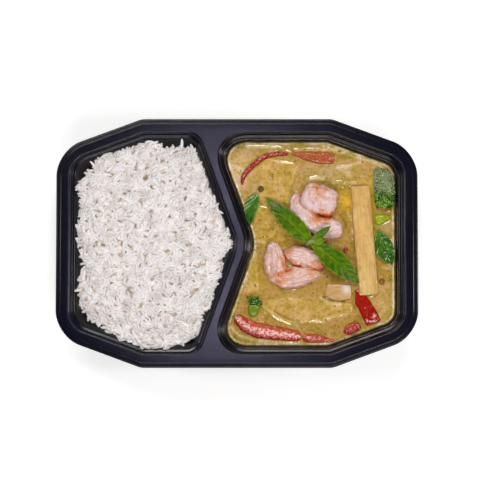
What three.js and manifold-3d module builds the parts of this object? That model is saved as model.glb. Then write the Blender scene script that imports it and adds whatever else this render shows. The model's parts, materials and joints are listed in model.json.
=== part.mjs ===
// A two-compartment meal tray with a heap of boiled rice and a green curry.
// Millimetres, +Z up. The origin is the middle of the tray's underside.

import * as THREE from 'three';
import { mergeVertices } from 'three/addons/utils/BufferGeometryUtils.js';
import Module from 'manifold-3d';

const wasm = await Module();
wasm.setup();

// ---- Driving sizes ----

const tray = {
  halfLength: 125,
  halfWidth: 86,
  height: 38,
  wall: 0.9,
  shoulderX: 66, // the long edges are straight between the shoulders
  sideCornerY: 64.3, // where the slanted edges meet the short sides
  shoulderRadius: 12,
  sideRadius: 25.5,
  flange: 8.7, // from the outer edge to the lip of a compartment
  bead: 3.3, // the outer band of the flange
  beadDrop: 0.8,
  skirt: 4.2, // the turned-down outer edge
};

const divider = {
  kinkX: 4.3, // the point of the arrow, on the middle line
  width: 5,
  lean: THREE.MathUtils.degToRad(20),
  curryCornerRadius: 14,
  riceCornerRadius: 12,
  kinkRadius: 12,
};

const gap = 0.35; // between touching pieces
const sauceLevel = 26.5;
const meniscus = 0.5;

const grain = {
  length: 7.6,
  width: 2.3,
  sides: 4,
  count: 96,
};

const heap = {
  edgeHeight: 33,
  crownHeight: 38.2,
  sides: 44,
  layers: [0.96, 0.88, 0.74, 0.56, 0.37, 0.17],
  steepness: 7, // how flat the heap stays before it falls to the wall
  cornerExtra: 13,
  inset: 4.9, // from the lip to the outline of the crown
  lump: 0.55,
};

// Inset from the lip and depth under the rim, from the floor up.
const innerWall = [
  [14.5, 37.1], [9.6, 35.2], [7.9, 30],
  [4.5, 5.8], [3.9, 4.9], [2, 4.5],
  [1.5, 1.5], [1, 0.4], [0, 0],
];
const outerWall = [
  [13.6, 38], [8.8, 36], [7, 30.2],
  [3.5, 6.4], [2.8, 5.8], [1.1, 5.4], [0.6, 0.45],
];
const contentsWall = innerWall.slice(0, 5);

// ---- Seeded chance ----

function makeRandom(seed) {
  let state = seed;
  return () => {
    state = (state * 1664525 + 1013904223) % 4294967296;
    return state / 4294967296;
  };
}

function between(random, low, high) {
  return low + (high - low) * random();
}

// ---- Solids ----

function toSolid(geometry) {
  const bare = geometry.clone();
  bare.deleteAttribute('normal');
  bare.deleteAttribute('uv');
  const merged = mergeVertices(bare, 1e-4);
  return new wasm.Manifold(new wasm.Mesh({
    numProp: 3,
    vertProperties: Float32Array.from(merged.attributes.position.array),
    triVerts: Uint32Array.from(merged.index.array),
  }));
}

function toGeometry(solid) {
  const mesh = solid.getMesh();
  const geometry = new THREE.BufferGeometry();
  geometry.setAttribute('position', new THREE.BufferAttribute(mesh.vertProperties, 3));
  geometry.setIndex(new THREE.BufferAttribute(mesh.triVerts, 1));
  geometry.computeVertexNormals();
  return geometry;
}

function joined(geometries) {
  return geometries.map(toSolid).reduce((whole, piece) => whole.add(piece));
}

// A cut can leave a loose scrap beside the piece: only the largest body is kept.
function largestBody(solid) {
  return solid.decompose().reduce((best, body) => (body.volume() > best.volume() ? body : best));
}

function middleOf(ring) {
  const middle = new THREE.Vector3();
  ring.forEach((point) => middle.add(point));
  return middle.divideScalar(ring.length);
}

// A closed cylinder whose rows of corners are moved onto the rings, from the lowest up.
// The rings run anticlockwise seen from their upper end.
function loft(rings) {
  const sides = rings[0].length;
  const layers = rings.length - 1;
  const geometry = new THREE.CylinderGeometry(1, 1, 1, sides, layers);
  const position = geometry.attributes.position;
  const corner = new THREE.Vector3();
  for (let i = 0; i < position.count; i += 1) {
    corner.fromBufferAttribute(position, i);
    const ring = rings[Math.round((corner.y + 0.5) * layers)];
    const column = Math.round((Math.atan2(corner.x, corner.z) / (2 * Math.PI)) * sides);
    const onAxis = Math.hypot(corner.x, corner.z) < 0.5;
    const place = onAxis ? middleOf(ring) : ring[(column + sides) % sides];
    position.setXYZ(i, place.x, place.y, place.z);
  }
  return geometry;
}

// ---- Outlines: corners are [x, y, radius, steps], anticlockwise ----

function direction(from, to) {
  return new THREE.Vector2(to[0] - from[0], to[1] - from[1]).normalize();
}

function leftOf(way) {
  return new THREE.Vector2(-way.y, way.x);
}

// One corner moved inwards, with the ways that come in and go out of it.
function insetCorner(corners, index, inset) {
  const [x, y, radius, steps] = corners[index];
  const before = corners[(index + corners.length - 1) % corners.length];
  const after = corners[(index + 1) % corners.length];
  const wayIn = direction(before, corners[index]);
  const wayOut = direction(corners[index], after);
  const normalIn = leftOf(wayIn);
  const normalOut = leftOf(wayOut);
  const reach = inset / (1 + normalIn.dot(normalOut));
  const turn = Math.atan2(wayIn.cross(wayOut), wayIn.dot(wayOut));
  const smallest = Math.min(radius, 4);
  return {
    x: x + (normalIn.x + normalOut.x) * reach,
    y: y + (normalIn.y + normalOut.y) * reach,
    radius: Math.max(radius - Math.sign(turn) * inset, smallest),
    steps,
    turn,
    wayIn,
    normalIn,
  };
}

function roundedRing(corners, inset, height) {
  const ring = [];
  corners.forEach((_, index) => {
    const corner = insetCorner(corners, index, inset);
    const side = Math.sign(corner.turn);
    const tangent = corner.radius * Math.tan(Math.abs(corner.turn) / 2);
    const start = new THREE.Vector2(corner.x, corner.y).addScaledVector(corner.wayIn, -tangent);
    const centre = start.clone().addScaledVector(corner.normalIn, side * corner.radius);
    for (let step = 0; step <= corner.steps; step += 1) {
      const point = start.clone().rotateAround(centre, (corner.turn * step) / corner.steps);
      ring.push(new THREE.Vector3(point.x, point.y, height));
    }
  });
  return ring;
}

function wallRings(corners, profile, clearance = 0) {
  return profile.map(([inset, depth]) => (
    roundedRing(corners, inset + clearance, tray.height - depth + clearance)
  ));
}

function outerCorners() {
  const { halfLength, halfWidth, shoulderX, sideCornerY, shoulderRadius, sideRadius } = tray;
  const quarter = [
    [shoulderX, -halfWidth, shoulderRadius, 1],
    [halfLength, -sideCornerY, sideRadius, 4],
  ];
  const half = [...quarter, ...quarter.map(([x, y, r, n]) => [x, -y, r, n]).reverse()];
  return [...half, ...half.map(([x, y, r, n]) => [-x, -y, r, n])];
}

const outer = outerCorners();
const lip = outer.map((corner, index) => {
  const moved = insetCorner(outer, index, tray.flange);
  return [moved.x, moved.y, moved.radius, moved.steps];
});
const lipY = tray.halfWidth - tray.flange;
const dividerReach = lipY * Math.tan(divider.lean);
const dividerHalf = divider.width / 2 / Math.cos(divider.lean);

const curryMouth = [
  [divider.kinkX + dividerHalf - dividerReach, -lipY, divider.curryCornerRadius, 5],
  ...lip.slice(0, 4),
  [divider.kinkX + dividerHalf - dividerReach, lipY, divider.curryCornerRadius, 5],
  [divider.kinkX + dividerHalf, 0, divider.kinkRadius, 2],
];

const riceMouth = [
  [divider.kinkX - dividerHalf - dividerReach, -lipY, divider.riceCornerRadius, 4],
  [divider.kinkX - dividerHalf, 0, divider.kinkRadius, 2],
  [divider.kinkX - dividerHalf - dividerReach, lipY, divider.riceCornerRadius, 4],
  ...lip.slice(4),
];

// ---- The tray ----

function flangeSolid() {
  const { bead, beadDrop, skirt, wall } = tray;
  const over = [[0, skirt], [0, beadDrop + 0.5], [0.4, beadDrop], [bead - 0.4, beadDrop], [bead, 0]];
  const under = [
    [wall, skirt + 1],
    [wall, beadDrop + wall + 0.3],
    [bead - 0.3, beadDrop + wall],
    [bead + 0.2, wall],
  ];
  return toSolid(loft(wallRings(outer, over))).subtract(toSolid(loft(wallRings(outer, under))));
}

function traySolid() {
  const above = [0, -2];
  const cups = [curryMouth, riceMouth].map((mouth) => toSolid(loft(wallRings(mouth, outerWall))));
  const hollows = [curryMouth, riceMouth].map((mouth) => (
    toSolid(loft(wallRings(mouth, [...innerWall, above])))
  ));
  const filled = flangeSolid().add(cups[0]).add(cups[1]);
  return filled.subtract(hollows[0]).subtract(hollows[1]);
}

// The room inside a compartment, with the gap kept all round and open upwards.
function roomSolid(mouth) {
  const open = [...innerWall, [0, -15]];
  return toSolid(loft(wallRings(mouth, open, gap)));
}

// ---- The rice ----

// Wider corners than the compartment has: the heap leaves its corners bare.
function heapMouth() {
  const extra = (y) => (y === 0 ? 0 : heap.cornerExtra);
  return riceMouth.map(([x, y, radius, steps]) => [x, y, radius + extra(y), steps]);
}

function spacedRing(ring, count) {
  const outline = new THREE.CurvePath();
  ring.forEach((point, index) => {
    outline.add(new THREE.LineCurve3(point, ring[(index + 1) % ring.length]));
  });
  return outline.getSpacedPoints(count).slice(0, count);
}

function lumps(x, y) {
  const broad = Math.sin(x / 11 + 0.6) * Math.cos(y / 13 - 0.4);
  const fine = Math.sin(x / 3.1 + y / 4.3) + Math.cos(x / 4.7 - y / 2.9);
  return heap.lump * (broad + 0.5 * fine);
}

// A point of the crown, share 1 at the outline and 0 in the middle.
function crownPoint(edge, middle, share) {
  const x = THREE.MathUtils.lerp(middle.x, edge.x, share);
  const y = THREE.MathUtils.lerp(middle.y, edge.y, share);
  const fall = share ** heap.steepness;
  const height = THREE.MathUtils.lerp(heap.crownHeight, heap.edgeHeight, fall);
  return new THREE.Vector3(x, y, height + lumps(x, y) * (1 - fall * 0.5));
}

function heapCore(outline) {
  const middle = middleOf(outline);
  const mouth = heapMouth();
  const sides = wallRings(mouth, contentsWall, gap).slice(0, 4);
  const walls = sides.map((ring) => spacedRing(ring, heap.sides));
  const crown = [1, ...heap.layers].map((share) => (
    outline.map((edge) => crownPoint(edge, middle, share))
  ));
  return toSolid(loft([...walls, ...crown]));
}

function grainSolid(place, random) {
  const { length, width, sides } = grain;
  const size = between(random, 0.85, 1.1);
  const geometry = new THREE.CapsuleGeometry(width / 2, length - width, 1, sides);
  geometry.scale(size * 1.1, size, size * 0.95);
  geometry.rotateX(between(random, -0.22, 0.22));
  geometry.rotateZ(between(random, 0, Math.PI));
  geometry.translate(place.x, place.y, place.z + width * 0.2);
  return toSolid(geometry);
}

// Evenly spread by the golden angle, the same number of grains for each patch of the crown.
function heapGrains(outline) {
  const random = makeRandom(11);
  const middle = middleOf(outline);
  const golden = Math.PI * (3 - Math.sqrt(5));
  const grains = [];
  for (let i = 0; i < grain.count; i += 1) {
    const share = Math.sqrt((i + 0.5) / grain.count) * 0.97;
    const turn = (i * golden + between(random, -0.04, 0.04)) / (2 * Math.PI);
    const column = THREE.MathUtils.euclideanModulo(turn, 1) * outline.length;
    const first = outline[Math.floor(column)];
    const second = outline[Math.ceil(column) % outline.length];
    const edge = first.clone().lerp(second, column % 1);
    grains.push(grainSolid(crownPoint(edge, middle, share), random));
  }
  return grains;
}

function riceSolid() {
  const outline = spacedRing(roundedRing(heapMouth(), heap.inset, heap.edgeHeight), heap.sides);
  const whole = heapGrains(outline).reduce((heaped, one) => heaped.add(one), heapCore(outline));
  return largestBody(whole.intersect(roomSolid(riceMouth)));
}

// ---- Shapes of the food in the curry ----

// A body along a smooth line. Each stop is [x, y, z, half width, half height].
function bodyAlong(stops, { steps, sides, square = 1, grooves = 0, grow = 0 }) {
  const line = new THREE.CatmullRomCurve3(stops.map(([x, y, z]) => new THREE.Vector3(x, y, z)));
  const sizes = new THREE.CatmullRomCurve3(
    stops.map((stop) => new THREE.Vector3(stop[3], stop[4], 0)),
  );
  const up = new THREE.Vector3(0, 0, 1);
  const rings = [];
  for (let step = 0; step <= steps; step += 1) {
    const share = step / steps;
    const centre = line.getPoint(share);
    const along = line.getTangent(share);
    const side = new THREE.Vector3().crossVectors(up, along).normalize();
    const over = new THREE.Vector3().crossVectors(along, side);
    const size = sizes.getPoint(share);
    const groove = 1 - 0.07 * grooves * (step % 2);
    if (step === 0) centre.addScaledVector(along, -grow);
    if (step === steps) centre.addScaledVector(along, grow);
    const ring = [];
    for (let k = 0; k < sides; k += 1) {
      const angle = (2 * Math.PI * (k + 0.5)) / sides;
      const across = Math.sign(Math.cos(angle)) * Math.abs(Math.cos(angle)) ** square;
      const upward = Math.sign(Math.sin(angle)) * Math.abs(Math.sin(angle)) ** square;
      ring.push(centre.clone()
        .addScaledVector(side, (size.x * groove + grow) * across)
        .addScaledVector(over, (size.y * groove + grow) * upward));
    }
    rings.push(ring);
  }
  return loft(rings);
}

// A flat piece with a chamfered edge; surface(x, y) is the height of its upper face.
function slab(corners, thickness, surface, grow = 0) {
  const chamfer = 0.5;
  const profile = [[0, -thickness], [0, -chamfer], [chamfer, 0]];
  const rings = profile.map(([inset, level]) => {
    const ring = roundedRing(corners, inset - grow, 0);
    const spread = level < -thickness / 2 ? -grow : grow;
    ring.forEach((point) => {
      point.z = surface(point.x, point.y) + level + spread;
    });
    return ring;
  });
  return loft(rings);
}

// BoxGeometry cuts its two large faces along mirrored diagonals: the lower one is turned to match.
function matchLowerFace(geometry) {
  const index = geometry.index;
  const lower = geometry.groups[5];
  for (let i = lower.start; i < lower.start + lower.count; i += 6) {
    const a = index.getX(i);
    const b = index.getX(i + 1);
    const d = index.getX(i + 2);
    const c = index.getX(i + 4);
    [a, b, c, a, c, d].forEach((vertex, offset) => index.setX(i + offset, vertex));
  }
}

// A thin wavy blade from its base to its tip. raise lifts the upper face, for a cutting shape.
function leaf(shape, grow = 0, raise = 0) {
  const { base, tip, width, widest, arch = 0, bow = 0, fold = 0.12, wave = 0.5 } = shape;
  const { waves = 1.5, columns = 8, rows = 4, thickness = 0.8 } = shape;
  const geometry = new THREE.BoxGeometry(1, 1, 1, columns, rows, 1);
  matchLowerFace(geometry);
  const start = new THREE.Vector3(...base);
  const end = new THREE.Vector3(...tip);
  const along = end.clone().sub(start).normalize();
  const side = new THREE.Vector3(-along.y, along.x, 0).normalize();
  const power = Math.log(0.5) / Math.log(widest);
  const position = geometry.attributes.position;
  for (let i = 0; i < position.count; i += 1) {
    const share = position.getX(i) + 0.5;
    const across = position.getY(i) * 2;
    const upper = position.getZ(i) > 0;
    const swell = Math.sin(Math.PI * share ** power) ** 0.8;
    const half = (width / 2) * Math.max(swell, 0.07) + grow;
    const point = start.clone().lerp(end, share);
    point.addScaledVector(along, (share * 2 - 1) * grow);
    point.addScaledVector(side, across * half + bow * Math.sin(Math.PI * share));
    point.z += arch * Math.sin(Math.PI * share) + fold * half * Math.abs(across);
    point.z += wave * across * Math.sin(2 * Math.PI * waves * share);
    point.z += upper ? thickness / 2 + grow + raise : -thickness / 2 - grow;
    position.setXYZ(i, point.x, point.y, point.z);
  }
  return geometry;
}

// A rough ball, squashed to its three half sizes.
function lump([x, y, z], [halfX, halfY, halfZ], roughness, seed, detail, grow = 0) {
  const random = makeRandom(seed);
  const geometry = new THREE.IcosahedronGeometry(1, detail);
  geometry.deleteAttribute('normal');
  geometry.deleteAttribute('uv');
  const ball = mergeVertices(geometry, 1e-4);
  const position = ball.attributes.position;
  for (let i = 0; i < position.count; i += 1) {
    const swell = 1 + between(random, -roughness, roughness);
    position.setXYZ(
      i,
      position.getX(i) * (halfX * swell + grow),
      position.getY(i) * (halfY * swell + grow),
      position.getZ(i) * (halfZ * swell + grow),
    );
  }
  return ball.translate(x, y, z);
}

// ---- Basil ----

const leftBlade = {
  base: [50.5, 1.5, 34.2], tip: [20.8, 31.4, 28.6], width: 13.6, widest: 0.34,
  arch: 2.6, fold: -0.1, wave: 0.5,
};
const rightBlade = {
  base: [51.5, 0.6, 34.2], tip: [84.2, -26.8, 30.6], width: 14.6, widest: 0.5,
  arch: 1.4, bow: 0.6, fold: -0.14, wave: 0.7, waves: 1.2,
};
const youngBlade = {
  base: [52, 1.5, 35.3], tip: [64.6, 11.4, 36.2], width: 4.6, widest: 0.45,
  arch: 0.8, fold: 0.2, wave: 0.2, columns: 5, rows: 2,
};
const buddingBlade = {
  base: [52.4, 0.6, 35.2], tip: [59.6, 1.6, 36.4], width: 3.4, widest: 0.5,
  arch: 0.6, fold: 0.2, wave: 0.1, columns: 4, rows: 2,
};

function basilSprig(grow) {
  const raise = grow > 0 ? 12 : 0;
  const blades = [leftBlade, rightBlade, youngBlade, buddingBlade];
  const stem = bodyAlong(
    [[48.8, -0.6, 34.2, 0.9, 0.9], [51, 1, 34.9, 1.4, 1.3], [53.4, 1.6, 35.2, 1, 0.9]],
    { steps: 3, sides: 6, grow },
  );
  return joined([...blades.map((blade) => leaf(blade, grow, raise)), stem]);
}

const tornLeaf = {
  base: [13.4, 34.6, 27.2], tip: [9.2, 13.2, 27.4], width: 9, widest: 0.42,
  arch: 1.2, bow: -1.6, fold: -0.15, wave: 0.4, thickness: 1, columns: 6,
};
const cuppedLeaf = {
  base: [100.6, 8.4, 27.6], tip: [105.4, -14.6, 27.4], width: 13.4, widest: 0.5,
  arch: 1.6, bow: 0.4, fold: -0.2, wave: 0.5, thickness: 1.1, columns: 6,
};

// ---- Prawns: each is the lobes of one opened, curled body ----

const upperPrawn = [
  [
    [44.6, 34, 25.6, 4.5, 3.6], [48.5, 33.2, 26.6, 8.2, 5.2], [55.5, 31.6, 27.4, 10.8, 5.8],
    [62.5, 28.8, 27.4, 10, 5.6], [69.4, 27, 26, 7.4, 4],
  ],
  [
    [41.6, 31.6, 26, 3, 3.4], [41.8, 25.4, 26.4, 4.6, 4.4], [47.6, 18, 26.8, 5.6, 5],
    [57, 11.6, 27, 6, 5.2], [66.6, 9.4, 26.8, 6.4, 5.2], [75.4, 12, 25.8, 4.6, 4],
  ],
];
const lowerPrawn = [
  [
    [24, 3.4, 25.2, 2, 2], [25.6, -4, 26, 4.8, 4], [26.8, -12, 26.4, 7.6, 5.2],
    [27.6, -19.6, 26.2, 8, 5.2], [29, -26.6, 25, 5.4, 3.8],
  ],
  [
    [33.2, -7.6, 25.4, 3, 3.4], [40, -7, 26.4, 4.8, 4.8], [48, -8.4, 26.8, 5.8, 5.2],
    [55.6, -13, 26.2, 5.6, 4.6], [61.6, -17.8, 25, 3.4, 3],
  ],
  [
    [26, -24.6, 24.8, 4.6, 3.6], [33.6, -24.4, 25.8, 6.6, 4.8], [43.6, -23, 26, 7.8, 5],
    [53, -21, 25.4, 6.4, 4.2], [61, -19, 24.4, 3.6, 2.8],
  ],
];

function prawn(lobes, grow) {
  return joined(lobes.map((lobe) => bodyAlong(lobe, { steps: 10, sides: 8, grooves: 1, grow })));
}

// ---- Bamboo shoot ----

function level(height, slopeX = 0, slopeY = 0, [x0, y0] = [0, 0]) {
  return (x, y) => height + (x - x0) * slopeX + (y - y0) * slopeY;
}

// A long strip with its fibres as shallow ridges along the upper face.
function bambooStrip(grow) {
  const { halfWidth, length, thickness, ridges, ridge } = {
    halfWidth: 6.7, length: 76, thickness: 4, ridges: 6, ridge: 0.35,
  };
  const section = new THREE.Shape();
  const pitch = (2 * (halfWidth + grow)) / ridges;
  section.moveTo(-halfWidth - grow, -thickness - grow);
  section.lineTo(halfWidth + grow, -thickness - grow);
  for (let i = 0; i < ridges; i += 1) {
    const right = halfWidth + grow - i * pitch;
    section.lineTo(right, grow - ridge);
    section.lineTo(right - pitch / 2, grow);
  }
  section.lineTo(-halfWidth - grow, grow - ridge);
  const strip = new THREE.ExtrudeGeometry(section, {
    depth: length + 2 * grow, steps: 4, bevelEnabled: false,
  });
  strip.translate(0, 0, -length / 2 - grow);
  strip.rotateX(Math.PI / 2);
  const position = strip.attributes.position;
  for (let i = 0; i < position.count; i += 1) {
    const y = position.getY(i);
    position.setX(i, position.getX(i) + 0.4 * Math.cos(y / 24));
    position.setZ(i, position.getZ(i) - (y / length) ** 2 * 1.6);
  }
  strip.rotateZ(THREE.MathUtils.degToRad(4.1));
  return toSolid(strip.translate(88.6, 2.2, 29.6));
}

const bambooChip = [[61.4, -37.2, 1.5, 1], [75.2, -40.4, 1.5, 1], [80, -37.6, 1.5, 1],
  [79.6, -28.6, 1.5, 1], [63.4, -28.8, 1.5, 1]];
const backSlab = [[15.4, 26, 2, 1], [33.4, 27.2, 2, 1], [43.4, 57.8, 2, 1], [18, 58.6, 2, 1]];
const sideSlab = [[13.6, 3.6, 2, 1], [19.8, 1, 2, 1], [30.4, 18.4, 2, 1], [32.2, 25.4, 2, 1],
  [14.6, 24.4, 2, 1], [9.8, 14, 2, 1]];
const frontSlab = [[18, -42.4, 2, 1], [27, -51.6, 2, 1], [42.4, -56.6, 2, 1], [80.4, -48.6, 2, 1],
  [80.8, -42.4, 2, 1], [65, -42.8, 2, 1], [44, -38.4, 2, 1], [26.6, -37.4, 2, 1]];
const edgeStrip = [[4, -33.6, 2, 1], [15.4, -34.4, 2, 1], [14.8, -14, 2, 1], [13.4, -3, 1.2, 1],
  [10.2, -8, 2, 1]];

// ---- Red pepper ----

const pepperArc = [
  [3.4, 41.6, 26.4, 1.2, 1.6], [4.6, 47, 26.6, 1.5, 1.9], [8.2, 51.8, 26.8, 1.6, 2],
  [12.6, 56, 26.9, 1.6, 2], [19, 60.6, 26.9, 1.6, 2], [27, 62.8, 26.8, 1.5, 1.8],
  [36.4, 62.8, 26.6, 1, 1.3],
];
const pepperWindow = [
  [38.6, 62.8, 26, 1.2, 1.2], [46, 61.6, 26.2, 3.2, 1.9], [57, 60.4, 26.3, 4.5, 2.1],
  [65, 60.2, 26.3, 4.6, 2], [69.6, 60.8, 26, 3.4, 1.5],
];
const pepperStrip = [
  [-0.4, -51.6, 26.2, 3.4, 1.9], [5.6, -56.8, 26.5, 4.6, 2.3], [13.6, -60.2, 26.7, 5, 2.4],
  [24, -62, 26.7, 4.8, 2.4], [35, -63.4, 26.5, 4.4, 2.2], [44.2, -65, 26.2, 3.2, 1.7],
];
const pepperTail = [
  [46.8, -65.6, 26, 2.8, 1.6], [52, -66, 26.2, 3.2, 1.8], [59, -66.6, 26.2, 2.8, 1.6],
  [67.6, -67.8, 26, 1, 1],
];
const pepperCurl = [
  [75.4, -61.6, 26, 2.6, 1.6], [79.2, -59.6, 26.6, 4, 2.2], [83.8, -57.2, 26.4, 3, 1.8],
];
const pepperWedge = [[83.4, -40, 1.2, 1], [86.4, -52.4, 1.2, 1], [91.6, -59, 1.2, 1],
  [98, -57.2, 1.2, 1], [100.6, -52, 1.2, 1], [92.8, -38, 1.2, 1], [85.4, -32.4, 1.2, 1],
  [82.6, -32.2, 1.2, 1]];
const pepperBit = [75.8, -4.6, 26.6];

// ---- Green pieces ----

function broccoli(grow) {
  const crown = lump([102.6, 38.4, 26], [6.9, 15, 4.6], 0.08, 5, 1, grow);
  const shoulder = lump([102.8, 30.4, 26.4], [6.4, 6.4, 4.6], 0.12, 8, 1, grow);
  const stalk = bodyAlong([
    [103, 28, 24, 3.6, 2.4], [102.6, 21, 25.4, 5.8, 2.4], [100.6, 16.6, 25.6, 4.2, 2.2],
    [98, 11.6, 25.4, 1.4, 1.4],
  ], { steps: 5, sides: 8, grow });
  return joined([crown, shoulder, stalk]);
}

function smallFloret(grow) {
  const head = lump([12.2, -40.4, 27], [4.6, 3.6, 3], 0.12, 21, 1, grow);
  const stalk = bodyAlong(
    [[12, -41.4, 26.4, 3.4, 2], [11.4, -46, 26.4, 3.4, 2], [10.8, -51, 25.8, 2.6, 1.4]],
    { steps: 4, sides: 8, grow },
  );
  return joined([head, stalk]);
}

// ---- What lies in the curry, from the top down: a lower piece is cut to clear the upper ones ----

const strand = { steps: 11, sides: 6, square: 0.8 };
const garnish = [
  ['basil_sprig', '#4f7a14', basilSprig],
  ['prawn_upper', '#e0c4bd', (grow) => prawn(upperPrawn, grow)],
  ['prawn_lower', '#dcb49c', (grow) => prawn(lowerPrawn, grow)],
  ['peppercorn', '#7e6010', (grow) => toSolid(lump([16.8, 38.2, 26.8], [2, 2.2, 1.9], 0.05, 3, 1, grow))],
  ['bamboo_long_strip', '#d8b26e', bambooStrip],
  ['bamboo_chip', '#d6b98c', (grow) => (
    toSolid(slab(bambooChip, 3.4, level(27.4, 0.07, 0.04, [70, -34]), grow))
  )],
  ['broccoli_floret', '#49700c', broccoli],
  ['small_floret', '#6a7a32', smallFloret],
  ['basil_leaf_left', '#4b6d20', (grow) => toSolid(leaf(tornLeaf, grow, grow > 0 ? 6 : 0))],
  ['basil_leaf_right', '#2f6a30', (grow) => toSolid(leaf(cuppedLeaf, grow, grow > 0 ? 6 : 0))],
  ['pepper_arc', '#a8442c', (grow) => toSolid(bodyAlong(pepperArc, { ...strand, grow }))],
  ['pepper_window', '#aa4a22', (grow) => toSolid(bodyAlong(pepperWindow, { ...strand, grow }))],
  ['pepper_wedge', '#9b1b08', (grow) => (
    toSolid(slab(pepperWedge, 3, level(27.9, 0.02, 0.02, [90, -45]), grow))
  )],
  ['pepper_curl', '#b15354', (grow) => toSolid(bodyAlong(pepperCurl, { steps: 6, sides: 8, grow }))],
  ['pepper_strip', '#b3522f', (grow) => toSolid(bodyAlong(pepperStrip, { ...strand, grow }))],
  ['pepper_tail', '#8f3020', (grow) => (
    toSolid(bodyAlong(pepperTail, { steps: 7, sides: 8, square: 0.7, grow }))
  )],
  ['pepper_bit', '#a02815', (grow) => toSolid(lump(pepperBit, [1.7, 2.2, 1.3], 0.1, 31, 0, grow))],
  ['bamboo_back_slab', '#c69a58', (grow) => toSolid(slab(backSlab, 4, level(27), grow))],
  ['bamboo_side_slab', '#cda04f', (grow) => toSolid(slab(sideSlab, 4, level(27.1), grow))],
  ['bamboo_front_slab', '#c2964f', (grow) => toSolid(slab(frontSlab, 4, level(27), grow))],
  ['bamboo_edge_strip', '#cdb068', (grow) => toSolid(slab(edgeStrip, 3.4, level(26.9), grow))],
];

// ---- The curry sauce, up to its level with a raised rim at the wall ----

function sauceSolid() {
  const wallSlope = (innerWall[2][0] - innerWall[3][0]) / (innerWall[2][1] - innerWall[3][1]);
  const insetAt = (height) => innerWall[3][0] + wallSlope * (tray.height - height - innerWall[3][1]);
  const top = sauceLevel + meniscus;
  const body = wallRings(curryMouth, contentsWall.slice(0, 3), gap);
  const rim = roundedRing(curryMouth, insetAt(top) + gap, top);
  const shore = roundedRing(curryMouth, insetAt(top) + gap + 1.6, sauceLevel);
  return toSolid(loft([...body, rim, shore]));
}

// ---- The whole object ----

const group = new THREE.Group();

function addPiece(name, solid, colour, roughness) {
  const material = new THREE.MeshStandardMaterial({ color: colour, roughness, metalness: 0 });
  const mesh = new THREE.Mesh(toGeometry(solid), material);
  mesh.name = name;
  group.add(mesh);
}

addPiece('tray', traySolid(), '#15151f', 0.25);
addPiece('rice', riceSolid(), '#e4e0df', 0.7);

const curryRoom = roomSolid(curryMouth);
let sauce = sauceSolid();
garnish.forEach(([name, colour, build], index) => {
  const cleared = garnish.slice(0, index).reduce(
    (piece, [, , buildUpper]) => piece.subtract(buildUpper(gap)),
    build(0).intersect(curryRoom),
  );
  addPiece(name, largestBody(cleared), colour, 0.35);
  sauce = sauce.subtract(build(gap));
});
addPiece('curry_sauce', largestBody(sauce), '#c89c5c', 0.15);

export default group;
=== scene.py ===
import json
import math

import bmesh
import bpy
import numpy as np
from mathutils import Matrix, Vector, noise
from mathutils.bvhtree import BVHTree

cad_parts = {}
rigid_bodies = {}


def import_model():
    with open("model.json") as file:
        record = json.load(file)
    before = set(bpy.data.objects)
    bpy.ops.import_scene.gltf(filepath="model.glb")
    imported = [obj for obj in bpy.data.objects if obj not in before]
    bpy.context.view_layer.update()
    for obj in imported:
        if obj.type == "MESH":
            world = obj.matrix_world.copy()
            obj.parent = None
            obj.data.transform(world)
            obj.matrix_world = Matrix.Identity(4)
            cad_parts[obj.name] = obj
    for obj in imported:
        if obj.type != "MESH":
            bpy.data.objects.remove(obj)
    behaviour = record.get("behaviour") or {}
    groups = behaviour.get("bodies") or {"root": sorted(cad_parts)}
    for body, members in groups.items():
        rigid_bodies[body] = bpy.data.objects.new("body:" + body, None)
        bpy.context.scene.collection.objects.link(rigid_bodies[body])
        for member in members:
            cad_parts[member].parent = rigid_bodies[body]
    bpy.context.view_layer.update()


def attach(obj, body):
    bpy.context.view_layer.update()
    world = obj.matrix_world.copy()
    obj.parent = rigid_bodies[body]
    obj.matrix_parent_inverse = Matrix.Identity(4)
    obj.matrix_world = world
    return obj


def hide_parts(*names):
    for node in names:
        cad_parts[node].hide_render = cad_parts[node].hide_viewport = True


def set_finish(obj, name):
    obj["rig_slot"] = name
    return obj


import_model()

# Sizes are in millimetres and turned into metres when a mesh is finished.
mm = 0.001
up = Vector((0, 0, 1))


def srgb(*colour):
    shares = [value / 255 for value in colour]
    return (*[s / 12.92 if s < 0.043 else ((s + 0.055) / 1.055) ** 2.4 for s in shares], 1.0)


def blend(low, high, value):
    share = np.clip((value - low) / (high - low), 0, 1)
    return share * share * (3 - 2 * share)


def bell(offset, width):
    return np.exp(-(offset / width) ** 2)


def over(colour, other, share):
    return colour * (1 - share) + np.array(other) * share


def smoothLine(stops, count):
    # an even curve through the stops; every column of a stop is carried along
    stops = np.array(stops, float)
    ends = np.vstack([2 * stops[0] - stops[1], stops, 2 * stops[-1] - stops[-2]])
    where = np.linspace(0, len(stops) - 1, count)
    low = np.minimum(where.astype(int), len(stops) - 2)
    t = (where - low)[:, None]
    a, b, c, d = (ends[low + k] for k in range(4))
    bent = (2 * a - 5 * b + 4 * c - d) * t ** 2 + (3 * b - a - 3 * c + d) * t ** 3
    return 0.5 * (2 * b + (c - a) * t + bent)


def ripple(x, y, size, seed=0.0):
    return noise.noise((x / size, y / size, seed))


def lump(co, size, seed=0.0):
    return noise.noise((co.x / size, co.y / size, co.z / size + seed))


rippleField = np.vectorize(ripple, otypes=[float])


def nearLines(x, y, lines):
    # the most any of the lines reaches; a line is half width, amount and its stops
    most = np.zeros(x.shape)
    for half, amount, line in lines:
        near = np.min([np.hypot(x - a, y - b) for a, b in smoothLine(line, 30)], axis=0)
        most = np.maximum(most, amount * bell(near, half))
    return most


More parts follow.
